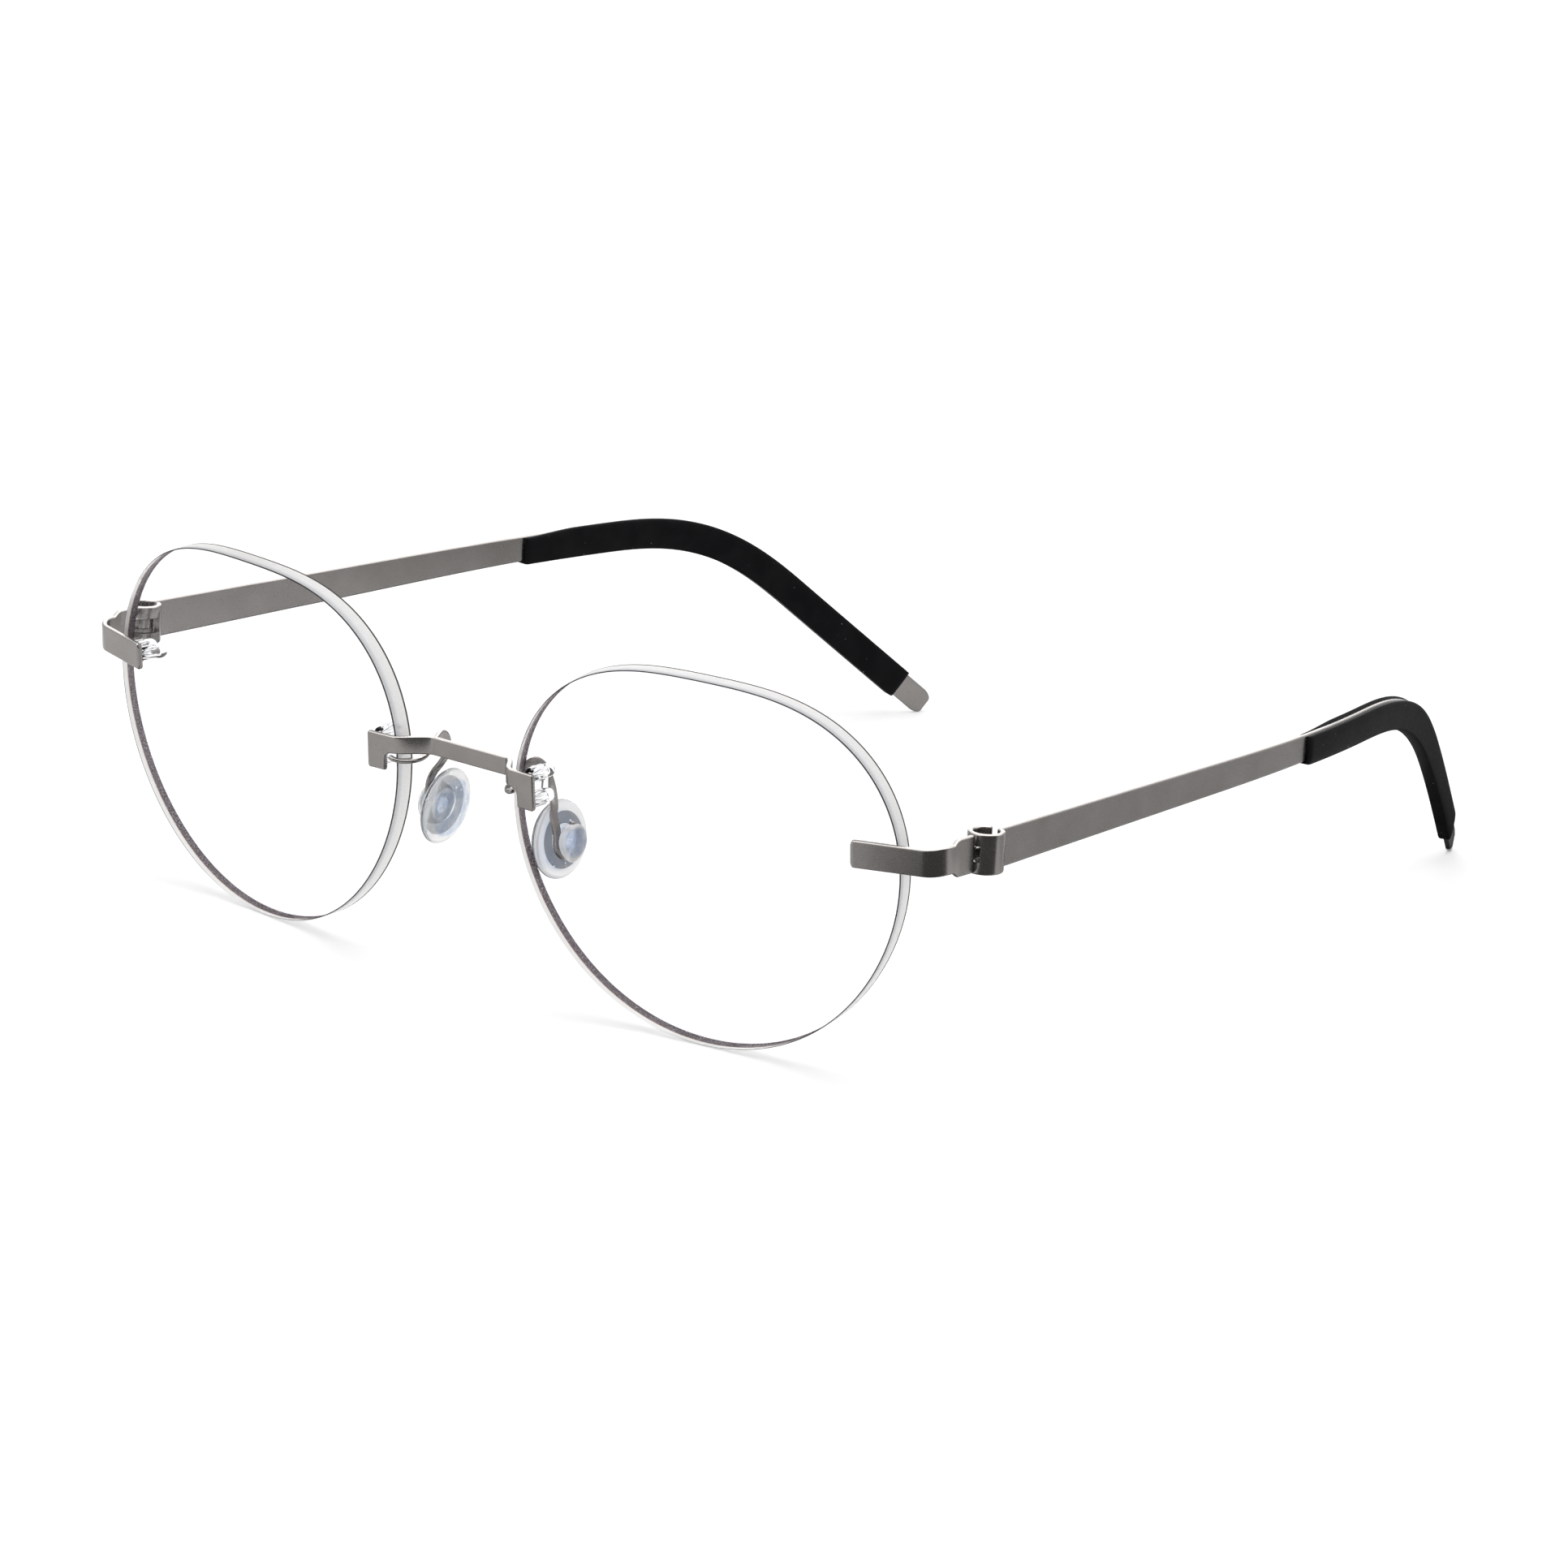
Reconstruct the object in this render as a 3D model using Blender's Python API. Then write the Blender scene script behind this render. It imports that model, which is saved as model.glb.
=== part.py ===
"""Round rimless eyeglasses bent from titanium sheet, with rolled hinges that need no screw.

Metres, +Z up. The wearer looks along -Y and the temples run back to +Y, so +X is the wearer's
left. The glasses stand open on the lower edges of both lenses and on the two temple tips.
Everything is drawn for the left side and mirrored for the right one.
"""
import math

import bpy
import numpy as np

# Lenses
LENS_WIDTH = 0.0500
LENS_HEIGHT = 0.0430
LENS_THICKNESS = 0.0023
LENS_FRONT_RADIUS = 0.115
LENS_FLAT_BROW = 0.0009
LENS_SQUARENESS = 0.00025
BROW_SPREAD = 0.24
LENS_EDGE_BEVEL = 0.00015
LENS_GAP = 0.0180
LENS_SIDES = 72
LENS_RING_SHARES = (0.68, 0.35, 0.02)
FACE_WRAP = 8.0
LENS_TILT = 6.7

# Titanium sheet
SHEET = 0.00065
SEAT_GAP = 0.00012

# Bridge: a bar with a tab in front of each lens
BAR_HEIGHT = 0.0021
BAR_TOP = 0.0066
BAR_SET_BACK = 0.0026
TAB_WIDTH = 0.0023
TAB_HEIGHT = 0.0043
TAB_EDGE_INSET = 0.0013
TAB_CORNER = 0.0003
BRIDGE_JOG = 0.0036
NOTCH_RADIUS = 0.0011

# Posts on the sheet, and the clear double bushes that hold them in the lens
POST_RADIUS = 0.00036
BUSH_WALL = 0.00036
BUSH_FIT = 0.00010
BUSH_WEB = 0.0005
BUSH_WEB_SHARE = 0.62
BUSH_WEB_OVERHANG = 0.1
BUSH_DOME = 0.0010
BUSH_DOME_ANGLES = (28, 54, 76)
TAB_POST_SPACING = 0.0029
PLATE_POST_SPACING = 0.0024

# Hinge: the temple's curl turns round the end piece's smaller curl
HINGE_BESIDE_LENS = 0.00498
HINGE_BEHIND_LENS = 0.00614
HINGE_MID_HEIGHT = 0.0061
CURL_RADIUS = 0.0021
CURL_HEIGHT = 0.0046
CURL_FREE_END = 105.0
CURL_NECK_OFFSET = 0.00045
CURL_NECK_RADIUS = 0.00070
CURL_FIT = 0.00030
WINDOW_HEIGHT = 0.00180
WINDOW_START = 158.0
WINDOW_END = 288.0
WINDOW_CUT_SHARES = (1.6, 0.4)
TONGUE_FIT = 0.00020
TONGUE_SHEET = 0.00055
TONGUE_NECK_RADIUS = 0.00045
TONGUE_NECK_OFFSET = 0.00010
TONGUE_SWEEP = 295.0

# End piece: a plate in front of the lens, bent round its edge towards the hinge
PLATE_HEIGHT = 0.0032
PLATE_MID_HEIGHT = 0.0055
PLATE_REACH = 0.0055
PLATE_BEND_RADIUS = 0.0027
PLATE_CORNER = 0.0004
KNUCKLE_HEIGHT = 0.0043
KNUCKLE_LENGTH = 0.0024

# Temples
TEMPLE_START_HEIGHT = 0.00445
TEMPLE_HEIGHT = 0.0032
TEMPLE_SPLAY = 2.96
TEMPLE_FALL = 0.2
TEMPLE_INWARD = 21.3
INWARD_START = 0.0403
INWARD_END = 0.1236
EAR_DROP = 38.7
EAR_BEND_START = 0.0747
EAR_BEND_END = 0.1075
TIP_ROUND = 0.0016
TIP_NARROWING = 0.55
STATION_MARGIN = 0.0004

# Rubber sleeves over the temple ends; their walls rise above the sheet further back
SLEEVE_START = 0.0614
SLEEVE_TIP_GAP = 0.0050
SLEEVE_WALL = 0.00050
SLEEVE_FLOOR = 0.00030
SLEEVE_FIT = 0.00010
SLEEVE_LOW_LIP = 0.00015
SLEEVE_HIGH_LIP = 0.00025
SLEEVE_INNER_RISE = 0.0085
SLEEVE_COVER_START = 0.084
SLEEVE_COVER_END = 0.100
SLEEVE_ROUND = 0.0008
SLEEVE_SWELL = 0.75
SLEEVE_SOFTNESS = 0.45

# Nose pads and their strip arms, each ending in a hook open at the upper front
ARM_WIDTH = 0.0011
ARM_ROOT_WIDTH = 0.0007
ARM_WIDENING = 0.0030
ARM_SHEET = 0.00050
ARM_STEP = 0.00042
ARM_ROUTE = ((0.00925, -0.00192, 0.00406), (0.00868, -0.00176, 0.00380), (0.00812, -0.00130, 0.00366),
             (0.00762, -0.00075, 0.00366), (0.00720, -0.00008, 0.00373), (0.00700, 0.00088, 0.00386),
             (0.00688, 0.00186, 0.00436), (0.00680, 0.00300, 0.00556), (0.00697, 0.00410, 0.00605),
             (0.00725, 0.00520, 0.00560), (0.00755, 0.00595, 0.00460), (0.00795, 0.00635, 0.00320),
             (0.00855, 0.00614, 0.00200), (0.00910, 0.00574, 0.00100), (0.00936, 0.00538, 0.00005),
             (0.00956, 0.00544, -0.00080), (0.00970, 0.00565, -0.00170))
ARM_TWIST = (0.12, 0.34)
EYELET_WIDTH = 0.0042
EYELET_HEIGHT = 0.0047
EYELET_HOLE_RADIUS = 0.0011
EYELET_START = 168.0
EYELET_END = 438.0
PAD_WIDTH = 0.0084
PAD_HEIGHT = 0.0090
PAD_THICKNESS = 0.0021
PAD_NECK_RADIUS = 0.0008
PAD_BUTTON_RADIUS = 0.0021
PAD_BUTTON_THICKNESS = 0.0009
PAD_PLAY = 0.00030
PAD_CENTRE = (0.0099, 0.0073, -0.0031)
PAD_SPLAY = 4.0
PAD_LEAN = 6.0
PAD_SECTION = ((0.05, 0.0), (0.45, 0.08), (0.78, 0.27), (0.94, 0.47), (1.0, 0.66), (0.97, 0.82),
               (0.88, 0.93), (0.70, 1.0))
PAD_NECK_SECTION = ((1.35, -1.0), (1.0, -0.75), (1.0, 0.82))
PAD_BUTTON_SECTION = ((0.90, 0.0), (1.0, 0.4), (0.88, 0.8), (0.55, 1.0), (0.05, 1.0))
PAD_SIDES = 28

ROUND_SIDES = 12


def ease(value, start, end):
    """0 before start, 1 after end, with a smooth cubic between them."""
    t = np.clip((np.asarray(value, float) - start) / (end - start), 0.0, 1.0)
    return t * t * (3.0 - 2.0 * t)


def arc(centre, radius, start, end, count):
    """Points of an arc in plan, angles in degrees."""
    angles = np.radians(np.linspace(start, end, count))
    return np.array(centre) + radius * np.stack([np.cos(angles), np.sin(angles)], axis=1)


# Lens frame: U runs outwards, V upwards and N backwards through the left lens
LENS_U = np.array([math.cos(math.radians(FACE_WRAP)), math.sin(math.radians(FACE_WRAP)), 0.0])
LENS_V = np.array([0.0, -math.sin(math.radians(LENS_TILT)), math.cos(math.radians(LENS_TILT))])
LENS_V = LENS_V - LENS_U * np.dot(LENS_V, LENS_U)
LENS_V = LENS_V / np.linalg.norm(LENS_V)
LENS_N = np.cross(LENS_V, LENS_U)
LENS_CENTRE = np.array([LENS_GAP / 2 + LENS_WIDTH / 2 * LENS_U[0], 0.0, 0.0])


def lens_outline(angle):
    """Distance of the lens edge from its centre: an oval with a flatter brow line."""
    side, top = LENS_WIDTH / 2 - LENS_FLAT_BROW * BROW_SPREAD, LENS_HEIGHT / 2
    oval = (side - top) / 2
    mean = (side + top) / 2 + LENS_SQUARENESS
    return (mean + oval * np.cos(2 * angle) + LENS_FLAT_BROW * (np.sin(angle) + np.sin(3 * angle))
            - LENS_SQUARENESS * np.cos(4 * angle))


def lens_point(u, v, depth):
    """A point at u, v across the left lens, depth behind its domed front."""
    u, v, depth = np.broadcast_arrays(*(np.asarray(value, float) for value in (u, v, depth)))
    sag = (u ** 2 + v ** 2) / (2 * LENS_FRONT_RADIUS) + depth
    return (LENS_CENTRE + u[..., None] * LENS_U + v[..., None] * LENS_V + sag[..., None] * LENS_N)


def lens_heading(u):
    """Unit vector that runs outwards along the lens front at u."""
    step = lens_point(u + 0.0005, 0, 0) - lens_point(u - 0.0005, 0, 0)
    return step / np.linalg.norm(step)


RIM_ANGLES = np.linspace(0, 2 * math.pi, 721)
RIM_U = lens_outline(RIM_ANGLES) * np.cos(RIM_ANGLES)
RIM_V = lens_outline(RIM_ANGLES) * np.sin(RIM_ANGLES)
FLOOR = min(lens_point(RIM_U, RIM_V, depth)[:, 2].min() for depth in (0.0, LENS_THICKNESS))


def material(name, colour, roughness, metallic=0.0, transmission=0.0, alpha=1.0):
    made = bpy.data.materials.new(name)
    made.use_nodes = True
    shader = made.node_tree.nodes["Principled BSDF"]
    shader.inputs["Base Color"].default_value = (*colour, 1.0)
    shader.inputs["Roughness"].default_value = roughness
    shader.inputs["Metallic"].default_value = metallic
    shader.inputs["Transmission Weight"].default_value = transmission
    shader.inputs["Alpha"].default_value = alpha
    made.diffuse_color = (*colour, alpha)
    return made


def make_object(name, points, faces, finish, side, parent):
    """One object from points drawn for the left side; side -1 mirrors it to the right."""
    points = np.array(points, float) * (side, 1, 1)
    if parent is not ROOT:
        points = points - np.array(parent.location)
    faces = [tuple(int(i) for i in (face if side > 0 else face[::-1])) for face in faces]
    mesh = bpy.data.meshes.new(name)
    mesh.from_pydata([tuple(point) for point in points], [], faces)
    mesh.materials.append(finish)
    mesh.shade_smooth()
    mesh.set_sharp_from_angle(angle=math.radians(35))
    made = bpy.data.objects.new(name, mesh)
    bpy.context.scene.collection.objects.link(made)
    made.parent = parent
    return made


def cut_or_join(host, operation, tools, side):
    """Cuts or adds each tool, given as points and faces for the left side, with a Boolean."""
    for points, faces in tools:
        number = len(host.modifiers)
        tool = make_object(f"{host.name}_tool_{number}", points, faces, host.data.materials[0],
                           side, host.parent)
        tool.hide_render = True
        tool.display_type = "WIRE"
        modifier = host.modifiers.new(f"{operation.lower()}_{number}", "BOOLEAN")
        modifier.operation = operation
        modifier.solver = "EXACT"
        modifier.object = tool
    return host


def facing_out(points, faces):
    """The faces, all turned over if they enclose a negative volume."""
    points = np.asarray(points)
    volume = 0.0
    for face in faces:
        for i in range(1, len(face) - 1):
            volume += np.dot(points[face[0]], np.cross(points[face[i]], points[face[i + 1]]))
    return faces if volume > 0 else [face[::-1] for face in faces]


def loft(rings, loop=False):
    """A closed solid over rings of equal point count; a loop joins its last ring to its first."""
    rings = np.array(rings, float)
    count, around = rings.shape[:2]
    points = rings.reshape(-1, 3)
    points = points - points.mean(axis=0)
    faces = []
    for i in range(count if loop else count - 1):
        for j in range(around):
            a, b = i * around, (i + 1) % count * around
            k = (j + 1) % around
            faces.append((a + j, a + k, b + k, b + j))
    if not loop:
        faces.append(tuple(range(around))[::-1])
        faces.append(tuple(range((count - 1) * around, count * around)))
    return rings.reshape(-1, 3), facing_out(points, faces)


def strip(centres, across, low, high, thickness):
    """A bent strip of sheet: across is its width direction at each station."""
    centres = np.asarray(centres, float)
    tangents = np.gradient(centres, axis=0)
    tangents = tangents / np.linalg.norm(tangents, axis=1)[:, None]
    across = across - tangents * (across * tangents).sum(axis=1)[:, None]
    across = across / np.linalg.norm(across, axis=1)[:, None]
    low, high, half = (np.broadcast_to(value, len(centres))[:, None]
                       for value in (low, high, np.asarray(thickness) / 2))
    half = np.cross(across, tangents) * half
    return loft(np.stack([centres + across * low - half, centres + across * low + half,
                          centres + across * high + half, centres + across * high - half], axis=1))


def rod(start, axis, stations, sides=ROUND_SIDES):
    """A turned solid; stations are pairs of distance along the axis and radius."""
    one = np.cross(axis, LENS_V)
    one = one / np.linalg.norm(one)
    two = np.cross(axis, one)
    angles = np.linspace(0, 2 * math.pi, sides, endpoint=False)
    circle = np.cos(angles)[:, None] * one + np.sin(angles)[:, None] * two
    return loft([start + axis * along + circle * radius for along, radius in stations])


def empty(name, position, parent=None):
    made = bpy.data.objects.new(name, None)
    bpy.context.scene.collection.objects.link(made)
    made.location = position
    made.parent = parent
    return made


def side_name(name, side):
    return f"{name}_{'left' if side > 0 else 'right'}"


class Fixing:
    """Two posts through the lens, side by side at u, v and spread apart along U or V."""

    def __init__(self, u, v, spread_u, spread_v):
        self.u, self.v = u, v
        normal = LENS_N - LENS_U * u / LENS_FRONT_RADIUS - LENS_V * v / LENS_FRONT_RADIUS
        self.axis = normal / np.linalg.norm(normal)
        self.front = [lens_point(u + sign * spread_u / 2, v + sign * spread_v / 2, 0.0)
                      for sign in (-1, 1)]
        self.spread = self.front[1] - self.front[0]

    def rods(self, radius, start, end):
        """A plain rod on each post's axis, from start to end behind the lens front."""
        return [rod(point, self.axis, [(start, radius), (end, radius)]) for point in self.front]


def make_lens(side):
    """A domed disc of even thickness, with its rim softened and its four holes drilled."""
    angles = np.linspace(0, 2 * math.pi, LENS_SIDES, endpoint=False)
    edge = lens_outline(angles)
    inner = 1 - LENS_EDGE_BEVEL / (LENS_WIDTH / 2)
    shares = (inner, *LENS_RING_SHARES)
    profile = [(share, 0.0) for share in shares[::-1]]
    profile += [(1.0, LENS_EDGE_BEVEL), (1.0, LENS_THICKNESS - LENS_EDGE_BEVEL)]
    profile += [(share, LENS_THICKNESS) for share in shares]
    rings = [lens_point(edge * np.cos(angles) * share, edge * np.sin(angles) * share, depth)
             for share, depth in profile]
    lens = make_object(side_name("lens", side), *loft(rings), CLEAR_LENS, side, ROOT)
    holes = [hole for fixing in (TAB_FIXING, PLATE_FIXING)
             for hole in fixing.rods(HOLE_RADIUS, -LENS_THICKNESS, 2 * LENS_THICKNESS)]
    return cut_or_join(lens, "DIFFERENCE", holes, side)


def make_bush(name, fixing, side):
    """A clear double bush: two domed sleeves through the lens, joined by a web behind it."""
    back = LENS_THICKNESS + SEAT_GAP
    dome = back + BUSH_WEB + BUSH_DOME
    stations = [(0.0, BUSH_RADIUS), (dome - BUSH_RADIUS, BUSH_RADIUS)]
    stations += [(dome - BUSH_RADIUS * (1 - math.sin(a)), BUSH_RADIUS * math.cos(a))
                 for a in np.radians(BUSH_DOME_ANGLES)]
    sleeves = [rod(point, fixing.axis, stations) for point in fixing.front]
    made = make_object(side_name(name, side), *sleeves[0], CLEAR_PLASTIC, side, ROOT)
    middle = fixing.front[0] + fixing.axis * (back + BUSH_WEB / 2)
    along = [middle - fixing.spread * BUSH_WEB_OVERHANG,
             middle + fixing.spread * (1 + BUSH_WEB_OVERHANG)]
    web_across = np.cross(fixing.axis, fixing.spread / np.linalg.norm(fixing.spread))
    half_web = BUSH_RADIUS * BUSH_WEB_SHARE
    web = strip(along, np.array([web_across, web_across]), -half_web, half_web, BUSH_WEB)
    cut_or_join(made, "UNION", [sleeves[1], web], side)
    bores = fixing.rods(POST_RADIUS + BUSH_FIT, -LENS_THICKNESS, POST_END + BUSH_FIT)
    return cut_or_join(made, "DIFFERENCE", bores, side)


def make_bridge():
    """One strip: a tab in front of each lens, a jog back at its edge, and the bar between them."""
    tab = lens_point(np.array([TAB_INNER_U, TAB_INNER_U + TAB_WIDTH]), 0.0, -SEAT_GAP - SHEET / 2)
    inner_x = tab[0, 0]
    jog_end = inner_x - NOTCH_RADIUS
    slope = (tab[1, 1] - tab[0, 1]) / (tab[1, 0] - tab[0, 0])
    corner = TAB_CORNER / LENS_U[0]
    xs = np.concatenate([np.linspace(0, jog_end - BRIDGE_JOG, 4)[:-1],
                         np.linspace(jog_end - BRIDGE_JOG, jog_end, 10)[:-1],
                         jog_end + NOTCH_RADIUS * np.sin(np.radians(np.linspace(0, 90, 7))),
                         [inner_x + 0.00001, tab[1, 0] - corner, tab[1, 0]]])
    forward = ease(xs, jog_end - BRIDGE_JOG, jog_end)
    bar_y = tab[0, 1] + BAR_SET_BACK
    tab_y = tab[0, 1] + slope * (xs - inner_x)
    ys = bar_y + (tab_y - bar_y) * forward
    low = np.full(len(xs), BAR_TOP - BAR_HEIGHT)
    bend = np.clip(xs - jog_end, 0, NOTCH_RADIUS)
    low = low - (NOTCH_RADIUS - np.sqrt(NOTCH_RADIUS ** 2 - bend ** 2))
    low[-3:] = BAR_TOP - TAB_HEIGHT
    high = np.full(len(xs), BAR_TOP)
    low[-1] += TAB_CORNER
    high[-1] -= TAB_CORNER / 2
    across = UP + (LENS_V - UP) * forward[:, None]
    centres = np.stack([xs, ys, np.zeros(len(xs))], axis=1)
    mirror = np.array([-1, 1, 1])
    bridge = strip(np.concatenate([(centres * mirror)[:0:-1], centres]),
                   np.concatenate([(across * mirror)[:0:-1], across]),
                   np.concatenate([low[:0:-1], low]), np.concatenate([high[:0:-1], high]), SHEET)
    made = make_object("bridge", *bridge, TITANIUM, 1, ROOT)
    posts = TAB_FIXING.rods(POST_RADIUS, -SEAT_GAP - SHEET / 2, POST_END)
    cut_or_join(made, "UNION", posts, 1)
    return cut_or_join(made, "UNION", posts, -1)


def make_end_piece(side):
    """Plate, bend round the lens edge, knuckle, and the tongue rolled up inside the temple's curl."""
    heading = lens_heading(PLATE_FIXING.u)
    base = lens_point(PLATE_FIXING.u, PLATE_V, -SEAT_GAP - SHEET / 2)
    inner_end = base - heading * (PLATE_FIXING.u - PLATE_INNER_U)
    line_x = HINGE[0] - TONGUE_NECK_OFFSET
    corner = base + heading * (line_x - base[0]) / heading[0]
    heading_angle = math.degrees(math.atan2(heading[1], heading[0]))
    reach = PLATE_BEND_RADIUS * math.tan(math.radians(90 - heading_angle) / 2)
    bend_start = corner - heading * reach / math.hypot(heading[0], heading[1])
    bend = arc((line_x - PLATE_BEND_RADIUS, corner[1] + reach), PLATE_BEND_RADIUS,
               heading_angle - 90, 0, 11)
    turn_radius = (CURL_RADIUS - SHEET) - CURL_FIT - TONGUE_SHEET / 2
    neck_x = -TONGUE_NECK_OFFSET - TONGUE_NECK_RADIUS
    neck_y = -math.sqrt((turn_radius + TONGUE_NECK_RADIUS) ** 2 - neck_x ** 2)
    meet = math.degrees(math.atan2(-neck_y, -neck_x))
    hinge = HINGE[:2]
    neck = hinge + arc((neck_x, neck_y), TONGUE_NECK_RADIUS, 0, meet, 6)
    roll = hinge + arc((0, 0), turn_radius, 180 + meet, 180 + meet - TONGUE_SWEEP, 26)[1:]
    knuckle_end = HINGE[1] - CURL_RADIUS - TONGUE_FIT
    flare_end = knuckle_end - KNUCKLE_LENGTH
    flare_start = flare_end - (KNUCKLE_HEIGHT - PLATE_HEIGHT)
    line_y = np.array([flare_start, flare_end, (flare_end + knuckle_end) / 2, knuckle_end,
                       knuckle_end + 0.00001])
    line = np.stack([np.full(5, line_x), line_y], axis=1)
    corner_cut = inner_end + heading * PLATE_CORNER
    plate = np.array([inner_end, corner_cut, (corner_cut + bend_start) / 2])
    plan = np.concatenate([plate[:, :2], bend, line, neck, roll])
    first_bend, first_line = len(plate), len(plate) + len(bend)
    knuckle, tongue = first_line + 1, first_line + 4
    level = np.full(len(plan), HINGE[2])
    level[:first_bend] = plate[:, 2]
    share = np.linspace(0, 1, first_line - first_bend + 1)[:-1]
    level[first_bend:first_line] = bend_start[2] + (HINGE[2] - bend_start[2]) * ease(share, 0, 1)
    half = np.full(len(plan), PLATE_HEIGHT / 2)
    half[0] -= PLATE_CORNER
    half[knuckle:tongue] = KNUCKLE_HEIGHT / 2
    half[tongue:] = WINDOW_HEIGHT / 2 - TONGUE_FIT
    across = np.tile(UP, (len(plan), 1))
    across[:first_bend] = LENS_V
    across[first_bend:first_line] += (LENS_V - UP) * (1 - ease(share, 0, 1))[:, None]
    thickness = np.full(len(plan), SHEET)
    thickness[tongue:] = TONGUE_SHEET
    piece = strip(np.column_stack([plan, level]), across, -half, half, thickness)
    made = make_object(side_name("end_piece", side), *piece, TITANIUM, side, ROOT)
    posts = PLATE_FIXING.rods(POST_RADIUS, -SEAT_GAP - SHEET / 2, POST_END)
    return cut_or_join(made, "UNION", posts, side)


class TemplePath:
    """The temple's centre line behind its curl, from how far it has turned in and down."""

    def __init__(self):
        splay = math.radians(TEMPLE_SPLAY)
        self.spin = np.array([[math.cos(splay), -math.sin(splay)],
                              [math.sin(splay), math.cos(splay)]])
        self.curl_mid = CURL_RADIUS - SHEET / 2
        neck_x = CURL_NECK_OFFSET + CURL_NECK_RADIUS
        neck_y = math.sqrt((self.curl_mid + CURL_NECK_RADIUS) ** 2 - neck_x ** 2)
        self.neck_centre = (neck_x, neck_y)
        start = self.plan(np.array([[CURL_NECK_OFFSET, neck_y]]))[0]
        self.fine = np.linspace(0, 0.2, 2001)
        self.yaw = np.radians(TEMPLE_SPLAY + TEMPLE_INWARD * ease(self.fine, INWARD_START, INWARD_END))
        self.pitch = np.radians(TEMPLE_FALL + EAR_DROP * ease(self.fine, EAR_BEND_START, EAR_BEND_END))
        tangent = np.stack([-np.sin(self.yaw) * np.cos(self.pitch),
                            np.cos(self.yaw) * np.cos(self.pitch), -np.sin(self.pitch)], axis=1)
        steps = (tangent[1:] + tangent[:-1]) / 2 * (self.fine[1] - self.fine[0])
        self.points = np.array([*start, HINGE[2]]) + np.concatenate([[[0, 0, 0]], steps.cumsum(axis=0)])
        self.length = self.length_to_floor()

    def plan(self, local):
        """Plan points of the curl, given about the hinge with the temple along +Y."""
        return HINGE[:2] + local @ self.spin.T

    def at(self, s):
        """Centre, width direction and outward normal at distances s from the curl's neck."""
        centre = np.stack([np.interp(s, self.fine, self.points[:, k]) for k in range(3)], axis=1)
        yaw, pitch = np.interp(s, self.fine, self.yaw), np.interp(s, self.fine, self.pitch)
        width = np.stack([-np.sin(yaw) * np.sin(pitch), np.cos(yaw) * np.sin(pitch), np.cos(pitch)],
                         axis=1)
        return centre, width, np.stack([np.cos(yaw), np.sin(yaw), 0 * yaw], axis=1)

    def half_height(self, s, length):
        """Half the strip's height: a long taper, then a rounded tip."""
        taper = TEMPLE_START_HEIGHT + (TEMPLE_HEIGHT - TEMPLE_START_HEIGHT) * np.clip(
            s / SLEEVE_START, 0, 1)
        into = np.clip(1 - (length - s) / TIP_ROUND, 0, 1)
        return taper / 2 * (1 - TIP_NARROWING * (1 - np.sqrt(1 - into ** 2 * 0.96)))

    def length_to_floor(self):
        """The length at which the tip just touches what the lenses stand on."""
        length = EAR_BEND_END
        for _ in range(12):
            s = np.linspace(length - TIP_ROUND, length, 25)
            centre, width, _normal = self.at(s)
            lowest = (centre - width * self.half_height(s, length)[:, None])[:, 2].min()
            length += (lowest - FLOOR) / math.sin(self.pitch[-1])
        return length


def temple_stations(path, start, end):
    """Distances along the temple: wide steps on the straight, close ones round the ear."""
    straight = np.linspace(0, SLEEVE_START, 6)
    bend = np.linspace(SLEEVE_START, path.length - TIP_ROUND, 27)
    tip = path.length - TIP_ROUND * np.array([0.75, 0.5, 0.3, 0.14, 0.04, 0.0])
    every = np.concatenate([straight[:-1], bend, tip])
    inside = every[(every > start + STATION_MARGIN) & (every < end - STATION_MARGIN)]
    return np.concatenate([[start], inside, [end]])


def make_temple(path, side, parent):
    """The temple: a curl with a window for the tongue, a neck, then the strip to its tip."""
    curl = path.plan(arc((0, 0), path.curl_mid, CURL_FREE_END, 360 + path_meet(path), 38))
    neck = path.plan(arc(path.neck_centre, CURL_NECK_RADIUS, 180 + path_meet(path), 180, 7)[1:-1])
    s = temple_stations(path, 0.0, path.length)
    centre, width, _normal = path.at(s)
    rolled = np.concatenate([curl, neck])
    rolled = np.column_stack([rolled, np.full(len(rolled), HINGE[2])])
    half = np.concatenate([np.full(len(curl), CURL_HEIGHT / 2),
                           np.linspace(CURL_HEIGHT, TEMPLE_START_HEIGHT, len(neck)) / 2,
                           path.half_height(s, path.length)])
    across = np.concatenate([np.tile(UP, (len(rolled), 1)), width])
    temple = strip(np.concatenate([rolled, centre]), across, -half, half, SHEET)
    made = make_object(side_name("temple", side), *temple, TITANIUM, side, parent)
    outside, inside = (CURL_RADIUS * share for share in WINDOW_CUT_SHARES)
    wedge = path.plan(np.concatenate([arc((0, 0), outside, WINDOW_START, WINDOW_END, 9),
                                      arc((0, 0), inside, WINDOW_END, WINDOW_START, 5)]))
    window = loft([np.column_stack([wedge, np.full(len(wedge), HINGE[2] + level)])
                   for level in (-WINDOW_HEIGHT / 2, WINDOW_HEIGHT / 2)])
    return cut_or_join(made, "DIFFERENCE", [window], side)


def path_meet(path):
    """Angle round the hinge at which the curl runs into the temple's neck."""
    return math.degrees(math.atan2(path.neck_centre[1], path.neck_centre[0]))


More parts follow.
